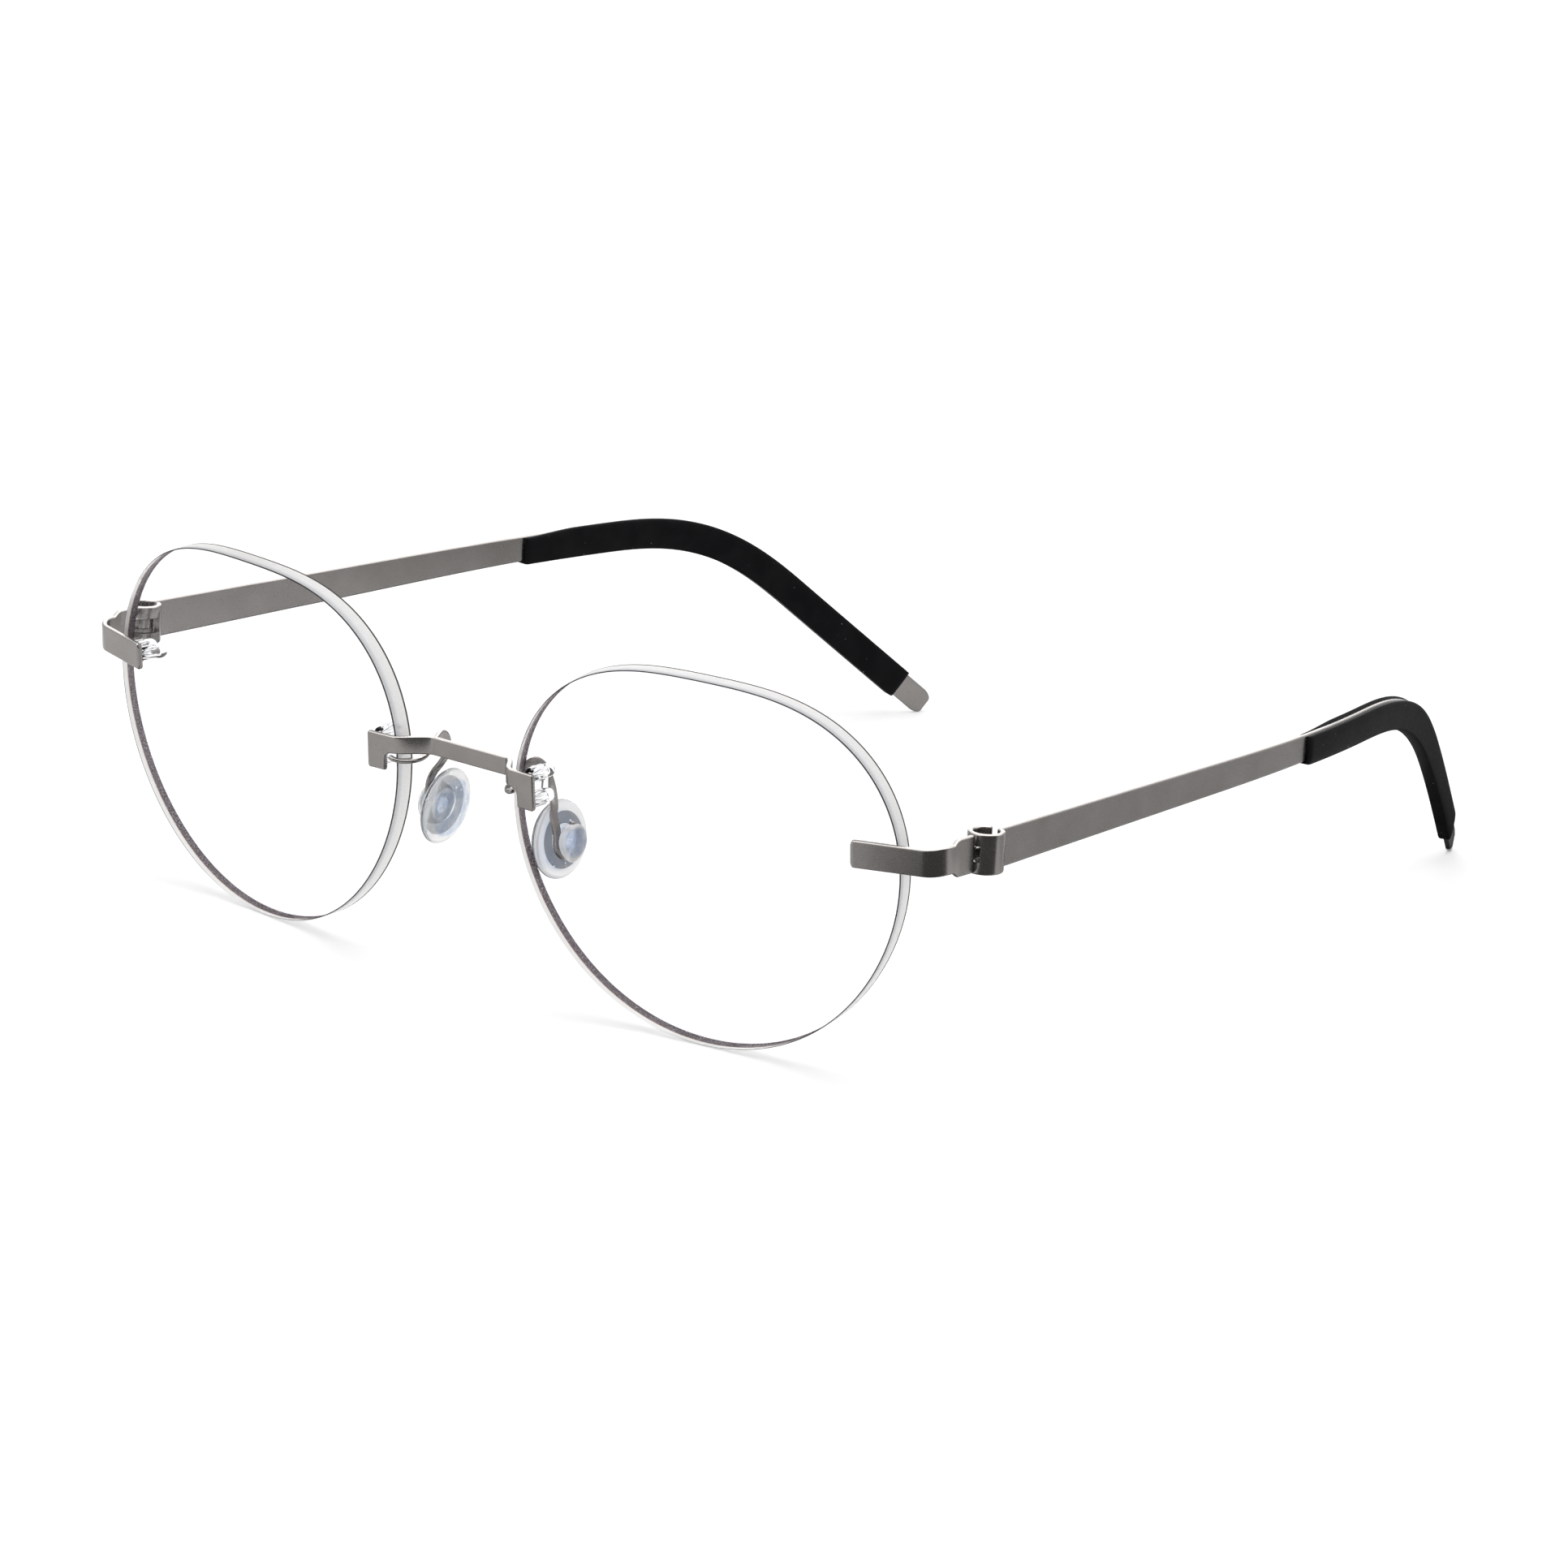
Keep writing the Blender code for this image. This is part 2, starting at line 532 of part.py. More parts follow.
def make_sleeve(path, side, parent):
    """A rubber channel over the temple end: at first its walls stop short of the sheet's top edge."""
    start, end = SLEEVE_START, path.length - SLEEVE_TIP_GAP
    s = temple_stations(path, start + SLEEVE_ROUND, end - SLEEVE_ROUND)
    s = np.concatenate([[start, start + SLEEVE_ROUND * 0.3], s, [end - SLEEVE_ROUND * 0.3, end]])
    centre, width, normal = path.at(s)
    from_end = np.minimum(s - start, end - s) / SLEEVE_ROUND
    swell = np.sqrt(1 - np.clip(1 - from_end, 0, 1) ** 2 * SLEEVE_SWELL)
    half = path.half_height(s, path.length)
    slot = SHEET / 2 + SLEEVE_FIT
    wall = slot + SLEEVE_WALL * swell
    floor = -half - SLEEVE_FIT
    under = floor - SLEEVE_FLOOR * swell
    rise = SLEEVE_LOW_LIP + SLEEVE_HIGH_LIP
    inner_top = half - SLEEVE_LOW_LIP + rise * ease(s, start, start + SLEEVE_INNER_RISE)
    outer_top = half - SLEEVE_LOW_LIP + rise * ease(s, SLEEVE_COVER_START, SLEEVE_COVER_END)
    soft = SLEEVE_WALL * SLEEVE_SOFTNESS * swell
    outline = [(slot, floor), (slot, outer_top), (wall - soft, outer_top), (wall, outer_top - soft),
               (wall, under + 2 * soft), (wall - 2 * soft, under), (2 * soft - wall, under),
               (-wall, under + 2 * soft), (-wall, inner_top - soft), (soft - wall, inner_top),
               (-slot, inner_top), (-slot, floor)]
    rings = np.stack([centre + normal * np.broadcast_to(out, len(s))[:, None]
                      + width * np.broadcast_to(up, len(s))[:, None] for out, up in outline], axis=1)
    return make_object(side_name("temple_sleeve", side), *loft(rings), RUBBER, side, parent)


def smooth_route(points, step):
    """A smooth curve through the points, read at an even step."""
    points = np.array(points, float)
    ends = np.concatenate([[2 * points[0] - points[1]], points, [2 * points[-1] - points[-2]]])
    route = []
    for before, a, b, after in zip(ends[:-3], ends[1:-2], ends[2:-1], ends[3:]):
        t = np.linspace(0, 1, 20, endpoint=False)[:, None]
        route.append(0.5 * (2 * a + (b - before) * t + (2 * before - 5 * a + 4 * b - after) * t ** 2
                            + (3 * a - before - 3 * b + after) * t ** 3))
    route = np.concatenate(route + [points[-1:]])
    along = np.concatenate([[0], np.linalg.norm(np.diff(route, axis=0), axis=1).cumsum()])
    wanted = np.linspace(0, along[-1], int(along[-1] / step) + 1)
    return np.stack([np.interp(wanted, along, route[:, k]) for k in range(3)], axis=1)


def make_pad_arm(side):
    """One narrow strip: from the tab's notch under and behind the bar, down, and round the neck."""
    middle_u = (EYELET_WIDTH / 2 + EYELET_HOLE_RADIUS) / 2
    middle_v = (EYELET_HEIGHT / 2 + EYELET_HOLE_RADIUS) / 2
    hook = [PAD_MIDDLE + PAD_BACK * math.cos(a) * middle_u + PAD_UP * math.sin(a) * middle_v
            for a in np.radians(np.linspace(EYELET_START, EYELET_END, 13))]
    route = smooth_route([*np.array(ARM_ROUTE), *hook], ARM_STEP)
    tangents = np.gradient(route, axis=0)
    share = ease(np.linspace(0, 1, len(route)), *ARM_TWIST)[:, None]
    across = np.cross(UP + (PAD_OUT - UP) * share, tangents)
    along = np.arange(len(route)) * ARM_STEP
    width = ARM_ROOT_WIDTH + (ARM_WIDTH - ARM_ROOT_WIDTH) * ease(along, 0, ARM_WIDENING)
    return make_object(side_name("nose_pad_arm", side), *strip(route, across, -width / 2, width / 2, ARM_SHEET),
                       TITANIUM, side, ROOT)


def make_pad(side, parent):
    """A soft oval pad; its neck passes the arm's hook and ends in a button that holds it."""
    play = ARM_SHEET / 2 + PAD_PLAY
    face = -play - PAD_THICKNESS
    angles = np.linspace(0, 2 * math.pi, PAD_SIDES, endpoint=False)
    circle = np.stack([np.cos(angles), np.sin(angles)], axis=1)
    oval = circle * (PAD_WIDTH / 2, PAD_HEIGHT / 2)
    button = circle * button_radius(angles)[:, None]
    neck = circle * PAD_NECK_RADIUS
    profile = [(oval * share, face + PAD_THICKNESS * depth) for share, depth in PAD_SECTION]
    profile += [(neck * share, play * depth) for share, depth in PAD_NECK_SECTION]
    profile += [(button * share, play + PAD_BUTTON_THICKNESS * depth)
                for share, depth in PAD_BUTTON_SECTION]
    rings = [PAD_MIDDLE + flat[:, :1] * PAD_BACK + flat[:, 1:] * PAD_UP + PAD_OUT * out
             for flat, out in profile]
    return make_object(side_name("nose_pad", side), *loft(rings), SILICONE, side, parent)


def button_radius(angles):
    """A heart-like outline: a dip at the top and a slight point at the bottom."""
    dip = np.exp(-((angles - math.pi / 2) / 0.35) ** 2)
    point = np.exp(-((angles - 3 * math.pi / 2) / 0.5) ** 2)
    return PAD_BUTTON_RADIUS * (1 - 0.12 * dip + 0.14 * point)


def stand_on_origin():
    """Moves the whole part so that the origin is the middle of its footprint."""
    graph = bpy.context.evaluated_depsgraph_get()
    low, high = np.full(3, np.inf), np.full(3, -np.inf)
    for item in bpy.context.scene.objects:
        if item.type == "MESH" and not item.hide_render:
            seen = item.evaluated_get(graph)
            points = np.array([seen.matrix_world @ vertex.co for vertex in seen.data.vertices])
            low, high = np.minimum(low, points.min(axis=0)), np.maximum(high, points.max(axis=0))
    ROOT.location = (-(low[0] + high[0]) / 2, -(low[1] + high[1]) / 2, -low[2])
    bpy.context.view_layer.update()


for old in list(bpy.data.objects):
    bpy.data.objects.remove(old, do_unlink=True)

UP = np.array([0.0, 0.0, 1.0])
LENS_OUTER = lens_point(LENS_WIDTH / 2, 0.0, LENS_THICKNESS)
HINGE = np.array([LENS_OUTER[0] + HINGE_BESIDE_LENS, LENS_OUTER[1] + HINGE_BEHIND_LENS,
                  HINGE_MID_HEIGHT])
TAB_INNER_U = TAB_EDGE_INSET - LENS_WIDTH / 2
PLATE_INNER_U = LENS_WIDTH / 2 - PLATE_REACH
PLATE_V = PLATE_MID_HEIGHT / LENS_V[2]
BUSH_RADIUS = POST_RADIUS + BUSH_FIT + BUSH_WALL
HOLE_RADIUS = BUSH_RADIUS + BUSH_FIT
POST_END = LENS_THICKNESS + SEAT_GAP + BUSH_WEB
TAB_FIXING = Fixing(TAB_INNER_U + TAB_WIDTH / 2, BAR_TOP - TAB_HEIGHT / 2, 0.0, TAB_POST_SPACING)
PLATE_FIXING = Fixing(PLATE_INNER_U + BUSH_RADIUS + PLATE_POST_SPACING / 2, PLATE_V,
                      PLATE_POST_SPACING, 0.0)
PAD_MIDDLE = np.array(PAD_CENTRE)
PAD_UP = np.array([-math.sin(math.radians(PAD_LEAN)), math.sin(math.radians(PAD_LEAN)), 1.0])
PAD_UP = PAD_UP / np.linalg.norm(PAD_UP)
PAD_OUT = np.array([math.cos(math.radians(PAD_SPLAY)), -math.sin(math.radians(PAD_SPLAY)), 0.0])
PAD_OUT = PAD_OUT - PAD_UP * np.dot(PAD_OUT, PAD_UP)
PAD_OUT = PAD_OUT / np.linalg.norm(PAD_OUT)
PAD_BACK = np.cross(PAD_UP, PAD_OUT)

TITANIUM = material("matt titanium", (0.40, 0.385, 0.375), 0.38, metallic=0.85)
CLEAR_LENS = material("clear lens", (0.95, 0.96, 0.97), 0.02, transmission=0.9, alpha=0.25)
CLEAR_PLASTIC = material("clear plastic", (0.92, 0.93, 0.94), 0.08, transmission=0.8, alpha=0.5)
SILICONE = material("clear silicone", (0.66, 0.70, 0.78), 0.25, transmission=0.6, alpha=0.6)
RUBBER = material("black rubber", (0.030, 0.030, 0.030), 0.45)

ROOT = empty("eyeglasses", (0, 0, 0))
make_bridge()
TEMPLE_PATH = TemplePath()
for SIDE in (1, -1):
    make_lens(SIDE)
    make_bush("bridge_bush", TAB_FIXING, SIDE)
    make_bush("end_piece_bush", PLATE_FIXING, SIDE)
    make_end_piece(SIDE)
    hinge_axis = empty(side_name("axis_temple", SIDE), HINGE * (SIDE, 1, 1), ROOT)
    make_temple(TEMPLE_PATH, SIDE, hinge_axis)
    make_sleeve(TEMPLE_PATH, SIDE, hinge_axis)
    make_pad_arm(SIDE)
    pad_axis = empty(side_name("axis_nose_pad", SIDE), PAD_MIDDLE * (SIDE, 1, 1), ROOT)
    make_pad(SIDE, pad_axis)
bpy.context.view_layer.update()
stand_on_origin()
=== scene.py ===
"""Round rimless eyeglasses bent from titanium sheet: the finished surfaces, light and camera."""
import math

import bpy
import numpy as np
from mathutils import Matrix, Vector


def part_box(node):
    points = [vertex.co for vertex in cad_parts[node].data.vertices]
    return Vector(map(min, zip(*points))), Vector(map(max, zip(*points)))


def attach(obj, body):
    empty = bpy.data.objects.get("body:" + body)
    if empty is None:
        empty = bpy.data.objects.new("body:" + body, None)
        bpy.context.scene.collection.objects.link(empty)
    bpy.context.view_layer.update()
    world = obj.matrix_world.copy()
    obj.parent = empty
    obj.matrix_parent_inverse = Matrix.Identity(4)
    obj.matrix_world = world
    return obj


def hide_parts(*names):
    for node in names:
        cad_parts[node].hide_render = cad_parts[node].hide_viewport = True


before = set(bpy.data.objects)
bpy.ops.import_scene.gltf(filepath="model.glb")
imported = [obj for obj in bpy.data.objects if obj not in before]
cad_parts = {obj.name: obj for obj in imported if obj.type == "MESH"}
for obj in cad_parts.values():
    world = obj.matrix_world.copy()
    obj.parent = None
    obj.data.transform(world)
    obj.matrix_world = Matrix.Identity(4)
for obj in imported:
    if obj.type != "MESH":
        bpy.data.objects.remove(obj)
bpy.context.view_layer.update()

# Sizes are in metres and angles in degrees

# The photograph's camera, about the middle between the two lens centres
CAMERA_AZIMUTH = 38.503
CAMERA_HEIGHT = 15.34
CAMERA_ROLL = 3.306
CAMERA_LENS = 185.29
CAMERA_SENSOR = 36.0
CAMERA_DISTANCE = 0.90312
CAMERA_RIGHT = 0.036184
CAMERA_UP = 0.002396
CAMERA_CLIP = 0.01

# Lenses
LENS_WIDTH = 0.0500
LENS_HEIGHT = 0.0430
LENS_THICKNESS = 0.0023
LENS_FRONT_RADIUS = 0.115
LENS_FLAT_BROW = 0.0009
LENS_SQUARENESS = 0.00025
BROW_SPREAD = 0.24
LENS_EDGE_BEVEL = 0.00015
LENS_GAP = 0.0180
FACE_WRAP = 8.0
LENS_TILT = 6.7

# Titanium sheet
SHEET = 0.00065
SHEET_ROUND = 0.00024
SEAT_GAP = 0.00012

# Bridge
BAR_HEIGHT = 0.0021
BAR_TOP = 0.0066
BAR_SET_BACK = 0.0026
TAB_WIDTH = 0.0023
TAB_HEIGHT = 0.0043
TAB_EDGE_INSET = 0.0013
TAB_CORNER = 0.0003
BRIDGE_JOG = 0.0036
NOTCH_RADIUS = 0.0011

# Posts and clear double bushes
POST_RADIUS = 0.00036
BUSH_WALL = 0.00036
BUSH_FIT = 0.00010
BUSH_WEB = 0.0005
BUSH_WEB_SHARE = 0.62
BUSH_WEB_OVERHANG = 0.1
BUSH_DOME = 0.0010
TAB_POST_SPACING = 0.0029
PLATE_POST_SPACING = 0.0024

# Hinge
HINGE_BESIDE_LENS = 0.00498
HINGE_BEHIND_LENS = 0.00614
HINGE_MID_HEIGHT = 0.0061
CURL_RADIUS = 0.0021
CURL_HEIGHT = 0.0046
CURL_FREE_END = 105.0
CURL_NECK_OFFSET = 0.00045
CURL_NECK_RADIUS = 0.00070
CURL_FIT = 0.00030
WINDOW_HEIGHT = 0.00180
WINDOW_START = 158.0
WINDOW_END = 288.0
WINDOW_CUT_SHARES = (1.6, 0.4)
TONGUE_FIT = 0.00020
TONGUE_SHEET = 0.00055
TONGUE_NECK_RADIUS = 0.00045
TONGUE_NECK_OFFSET = 0.00010
TONGUE_SWEEP = 295.0
TONGUE_STEPS = (0.00002, 0.00012)

# End piece
PLATE_HEIGHT = 0.0032
PLATE_MID_HEIGHT = 0.0055
PLATE_REACH = 0.0055
PLATE_HEADING_STEP = 0.0005
PLATE_BEND_RADIUS = 0.0027
PLATE_CORNER = 0.0004
KNUCKLE_HEIGHT = 0.0043
KNUCKLE_LENGTH = 0.0024

# Temples
TEMPLE_START_HEIGHT = 0.00445
TEMPLE_HEIGHT = 0.0032
TEMPLE_SPLAY = 2.96
TEMPLE_FALL = 0.2
TEMPLE_INWARD = 21.3
INWARD_START = 0.0403
INWARD_END = 0.1236
EAR_DROP = 38.7
EAR_BEND_START = 0.0747
EAR_BEND_END = 0.1075
TIP_ROUND = 0.0016
TIP_NARROWING = 0.55
TIP_BLUNTNESS = 0.96
PATH_REACH = 0.2

# Rubber sleeves
SLEEVE_START = 0.0614
SLEEVE_TIP_GAP = 0.0050
SLEEVE_WALL = 0.00050
SLEEVE_FLOOR = 0.00030
SLEEVE_FIT = 0.00010
SLEEVE_LOW_LIP = 0.00015
SLEEVE_HIGH_LIP = 0.00025
SLEEVE_INNER_RISE = 0.0085
SLEEVE_COVER_START = 0.084
SLEEVE_COVER_END = 0.100
SLEEVE_ROUND = 0.0008
SLEEVE_SWELL = 0.75
SLEEVE_TOP_SHARE = 0.30
SLEEVE_PILLOW = 2.6

# Nose pads and their arms; a section's pairs are shares of the radius and of the depth, and the
# button's dip and point have a height and a width
ARM_WIDTH = 0.0011
ARM_ROOT_WIDTH = 0.0007
ARM_WIDENING = 0.0030
ARM_SHEET = 0.00050
ARM_ROUTE = ((0.00925, -0.00192, 0.00406), (0.00868, -0.00176, 0.00380), (0.00812, -0.00130, 0.00366),
             (0.00762, -0.00075, 0.00366), (0.00720, -0.00008, 0.00373), (0.00700, 0.00088, 0.00386),
             (0.00688, 0.00186, 0.00436), (0.00680, 0.00300, 0.00556), (0.00697, 0.00410, 0.00605),
             (0.00725, 0.00520, 0.00560), (0.00755, 0.00595, 0.00460), (0.00795, 0.00635, 0.00320),
             (0.00855, 0.00614, 0.00200), (0.00910, 0.00574, 0.00100), (0.00936, 0.00538, 0.00005),
             (0.00956, 0.00544, -0.00080), (0.00970, 0.00565, -0.00170))
ARM_TWIST = (0.12, 0.34)
EYELET_WIDTH = 0.0042
EYELET_HEIGHT = 0.0047
EYELET_HOLE_RADIUS = 0.0011
EYELET_START = 168.0
EYELET_END = 438.0
PAD_WIDTH = 0.0084
PAD_HEIGHT = 0.0090
PAD_THICKNESS = 0.0021
PAD_NECK_RADIUS = 0.0008
PAD_BUTTON_RADIUS = 0.0021
PAD_BUTTON_THICKNESS = 0.0009
PAD_BUTTON_DIP = (0.12, 0.35)
PAD_BUTTON_POINT = (0.14, 0.5)
PAD_BUTTON_RIM = 0.9
PAD_PLAY = 0.00030
PAD_CENTRE = np.array([0.0099, 0.0073, -0.0031])
PAD_SPLAY = 4.0
PAD_LEAN = 6.0
PAD_SECTION = ((0.05, 0.0), (0.45, 0.08), (0.78, 0.27), (0.94, 0.47), (1.0, 0.66), (0.97, 0.82),
               (0.88, 0.93), (0.70, 1.0))
PAD_NECK_SECTION = ((1.35, -1.0), (1.0, -0.75), (1.0, 0.82))
PAD_BUTTON_SECTION = ((0.90, 0.0), (1.0, 0.4), (0.88, 0.8), (0.55, 1.0), (0.05, 1.0))

# Steps and small roundings of the finished surfaces
RIM_STEPS = 721
CORNER_STEPS = 7
END_ANGLES = (0, 22, 45, 67, 90)
END_CLEAR = 1.2
TURNED_SIDES = 40
DOME_ANGLES = (15, 30, 45, 60, 75, 86)
BAR_STEPS = 12
JOG_STEPS = 40
NOTCH_STEPS = 24
NOTCH_END_STEPS = (0.1, 0.4, 1.0)
TAB_CORNER_STEPS = 8
PLATE_STEPS = 40
PLATE_BEND_STEPS = 41
FLARE_STEPS = 16
KNUCKLE_STEPS = 9
TONGUE_NECK_STEPS = 16
TONGUE_ROLL_STEPS = 90
PATH_STEPS = 2001
LENGTH_TRIES = 12
CURL_STEPS = 120
CURL_NECK_STEPS = 24
TEMPLE_STEPS = 80
TEMPLE_END_STEPS = 200
TIP_STEPS = 24
WINDOW_OUTER_STEPS = 30
WINDOW_INNER_STEPS = 16
SLEEVE_STEPS = 160
SLEEVE_END_STEPS = 9
PILLOW_STEPS = 17
WEB_STEPS = 12
HOOK_STEPS = 13
ARM_STEPS = 8
LENS_SEGMENTS = 240
LENS_RINGS = (0.01, 0.15, 0.3, 0.45, 0.6, 0.75, 0.88)
LENS_SHARP_ANGLE = 30.0
PAD_SEGMENTS = 96
PAD_STEPS = 4
PAD_NECK_STEPS = 3
POST_ROUND = 0.00008
POST_ROUND_MIDDLE = POST_ROUND * 0.3
BUSH_ROUND = 0.00006
WINDOW_BEVEL = 0.00005
BEVEL_ANGLE = 50.0

# Studio: a lamp has its place, width, height and radiance
FLOOR_REACH = 3.0
FLOOR_DROP = 0.00002
FLOOR_LIFT = 0.32
LIFT_START = 0.25
LIFT_END = 1.0
WORLD_LIGHT = 0.6
LAMPS = {
    "box_above": ((0.0, 0.1, 1.3), 1.2, 1.2, 1.6),
    "box_behind": ((-0.72, 0.90, 0.42), 1.0, 0.6, 1.8),
    "tent_top": ((0.0, 0.0, 0.9), 2.6, 2.6, 2.6),
}

# Cards that only reflections see: tone and corners; a corner without a height lies at CARD_LEVEL
CARD_LEVEL = 0.0005
BLACK = 0.03
GREY = 0.64
CARDS = {
    "dark_before": (BLACK, ((0.053, -0.082), (0.080, -0.050), (0.90, 0.16), (0.10, -1.0))),
    "dark_behind": (BLACK, ((-0.02, 0.085), (0.055, 0.05), (0.10, 1.2), (-0.45, 1.2))),
    "dark_under_left": (BLACK, ((0.044, -0.056), (0.072, -0.056), (0.062, 0.050), (0.034, 0.050))),
    "dark_under_right": (BLACK, ((-0.072, -0.056), (-0.044, -0.056), (-0.034, 0.050), (-0.062, 0.050))),
    "dark_under_front": (BLACK, ((-0.072, -0.076), (0.072, -0.076), (0.072, -0.056), (-0.072, -0.056))),
    "grey_right": (GREY, ((0.078, 0.0), (0.90, 0.18), (0.90, 1.2), (0.12, 1.2))),
    "dark_wall": (BLACK, ((0.10, -0.60, 0.0), (0.55, 0.10, 0.0), (0.55, 0.10, 0.6), (0.10, -0.60, 0.6))),
}

UP = np.array([0.0, 0.0, 1.0])
NEARLY_UP = UP + (0, 0.001, 0)  # not parallel to a lamp straight above
MIRROR = np.array([-1.0, 1.0, 1.0])
SIDES = {"left": 1, "right": -1}


def ease(value, start, end):
    """0 before start, 1 after end, with a smooth cubic between them."""
    t = np.clip((np.asarray(value, float) - start) / (end - start), 0.0, 1.0)
    return t * t * (3.0 - 2.0 * t)


def arc(centre, radius, start, end, count):
    """Points of an arc in plan: centre + radius (cos a, sin a), a evenly from start to end."""
    angles = np.radians(np.linspace(start, end, count))
    return np.array(centre) + radius * np.stack([np.cos(angles), np.sin(angles)], axis=1)


def quarter(count):
    """Angles evenly from 0 to 90 degrees, in radians."""
    return np.radians(np.linspace(0, 90, count))


def unit(vector):
    """The vector at length 1."""
    vector = np.asarray(vector, float)
    return vector / np.linalg.norm(vector)


def units(vectors):
    """Each row at length 1."""
    return vectors / np.linalg.norm(vectors, axis=1)[:, None]


def along(points):
    """Unit tangents of a line of points."""
    return units(np.gradient(points, axis=0))


# Lens frame: U runs outwards, V upwards and N backwards through the left lens
LENS_U = np.array([math.cos(math.radians(FACE_WRAP)), math.sin(math.radians(FACE_WRAP)), 0.0])
LENS_V = np.array([0.0, -math.sin(math.radians(LENS_TILT)), math.cos(math.radians(LENS_TILT))])
LENS_V = unit(LENS_V - LENS_U * np.dot(LENS_V, LENS_U))
LENS_N = np.cross(LENS_V, LENS_U)
LENS_CENTRE = np.array([LENS_GAP / 2 + LENS_WIDTH / 2 * LENS_U[0], 0.0, 0.0])


def lens_outline(angle):
    """The edge's distance from the centre: mean + oval cos 2a + brow (sin a + sin 3a) - square cos 4a."""
    side, top = LENS_WIDTH / 2 - LENS_FLAT_BROW * BROW_SPREAD, LENS_HEIGHT / 2
    return ((side + top) / 2 + LENS_SQUARENESS + (side - top) / 2 * np.cos(2 * angle)
            + LENS_FLAT_BROW * (np.sin(angle) + np.sin(3 * angle)) - LENS_SQUARENESS * np.cos(4 * angle))


def lens_point(u, v, depth):
    """centre + u U + v V + (sag + depth) N, where the sag is (u^2 + v^2) / 2R."""
    u, v, depth = np.broadcast_arrays(*(np.asarray(value, float) for value in (u, v, depth)))
    sag = (u ** 2 + v ** 2) / (2 * LENS_FRONT_RADIUS) + depth
    return LENS_CENTRE + u[..., None] * LENS_U + v[..., None] * LENS_V + sag[..., None] * LENS_N


RIM_ANGLES = np.linspace(0, 2 * math.pi, RIM_STEPS)
RIM_FRONT = lens_point(lens_outline(RIM_ANGLES) * np.cos(RIM_ANGLES),
                       lens_outline(RIM_ANGLES) * np.sin(RIM_ANGLES), 0.0)
RIM_BACK = RIM_FRONT + LENS_THICKNESS * LENS_N
FLOOR = min(RIM_FRONT[:, 2].min(), RIM_BACK[:, 2].min())

# Where the lens centres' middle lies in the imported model
LENS_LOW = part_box("lens_left")[0]
FRONT_CENTRE = np.array([0.0, LENS_LOW[1] - RIM_FRONT[:, 1].min(), LENS_LOW[2] - FLOOR])
LENS_OUTER = lens_point(LENS_WIDTH / 2, 0.0, LENS_THICKNESS)
HINGE = np.array([LENS_OUTER[0] + HINGE_BESIDE_LENS, LENS_OUTER[1] + HINGE_BEHIND_LENS, HINGE_MID_HEIGHT])
TAB_INNER_U = TAB_EDGE_INSET - LENS_WIDTH / 2
PLATE_INNER_U = LENS_WIDTH / 2 - PLATE_REACH
PLATE_V = PLATE_MID_HEIGHT / LENS_V[2]
BUSH_RADIUS = POST_RADIUS + BUSH_FIT + BUSH_WALL
HOLE_RADIUS = BUSH_RADIUS + BUSH_FIT
POST_END = LENS_THICKNESS + SEAT_GAP + BUSH_WEB
PAD_UP = unit([-math.sin(math.radians(PAD_LEAN)), math.sin(math.radians(PAD_LEAN)), 1.0])
PAD_OUT = np.array([math.cos(math.radians(PAD_SPLAY)), -math.sin(math.radians(PAD_SPLAY)), 0.0])
PAD_OUT = unit(PAD_OUT - PAD_UP * np.dot(PAD_OUT, PAD_UP))
PAD_BACK = np.cross(PAD_UP, PAD_OUT)


def make_item(name, data):
    """A new object in the scene."""
    item = bpy.data.objects.new(name, data)
    bpy.context.scene.collection.objects.link(item)
    return item


def matrix_of(right, up, back, spot):
    """A matrix whose columns are three axes and a place."""
    return Matrix(np.vstack([np.column_stack([right, up, back, spot]), [0, 0, 0, 1]]).tolist())


def make_camera():
    """A long lens that looks down at the left front, from the direction, distance and roll above."""
    azimuth, height, roll = (math.radians(angle) for angle in
                             (CAMERA_AZIMUTH, CAMERA_HEIGHT, CAMERA_ROLL))
    back = np.array([math.sin(azimuth) * math.cos(height), -math.cos(azimuth) * math.cos(height),
                     math.sin(height)])
    level = np.array([math.cos(azimuth), math.sin(azimuth), 0.0])
    upright = np.cross(back, level)
    right = level * math.cos(roll) + upright * math.sin(roll)
    up = upright * math.cos(roll) - level * math.sin(roll)
    spot = FRONT_CENTRE + back * CAMERA_DISTANCE + right * CAMERA_RIGHT + up * CAMERA_UP
    data = bpy.data.cameras.new("camera")
    data.lens = CAMERA_LENS
    data.sensor_width = CAMERA_SENSOR
    data.clip_start = CAMERA_CLIP
    camera = make_item("camera", data)
    camera.matrix_world = matrix_of(right, up, back, spot)
    bpy.context.scene.camera = camera


def mesh_from(name, grids):
    """One mesh from tubes of points, closed at both ends: each grid's rows are rings of points."""
    points, faces, first = [], [], 0
    for grid in grids:
        rows, around = grid.shape[:2]
        index = first + np.arange(rows * around).reshape(rows, around)
        right = np.roll(index, -1, axis=1)
        quads = np.stack([index[:-1], right[:-1], right[1:], index[1:]], axis=-1).reshape(-1, 4)
        shape = [tuple(face) for face in quads.tolist()]
        shape += [tuple(index[0, ::-1].tolist()), tuple(index[-1].tolist())]
        points.append(grid.reshape(-1, 3))
        faces += facing_out(points[-1], shape, first)
        first += rows * around
    mesh = bpy.data.meshes.new(name)
    mesh.from_pydata(np.concatenate(points).tolist(), [], faces)
    mesh.shade_smooth()
    return mesh


def facing_out(points, faces, first):
    """The faces, turned over together if they enclose a negative volume."""
    centred = points - points.mean(axis=0)
    volume = 0.0
    for face in faces:
        corners = centred[np.array(face) - first]
        volume += (corners[0] * np.cross(corners[1:-1], corners[2:]).sum(axis=0)).sum()
    return faces if volume > 0 else [face[::-1] for face in faces]


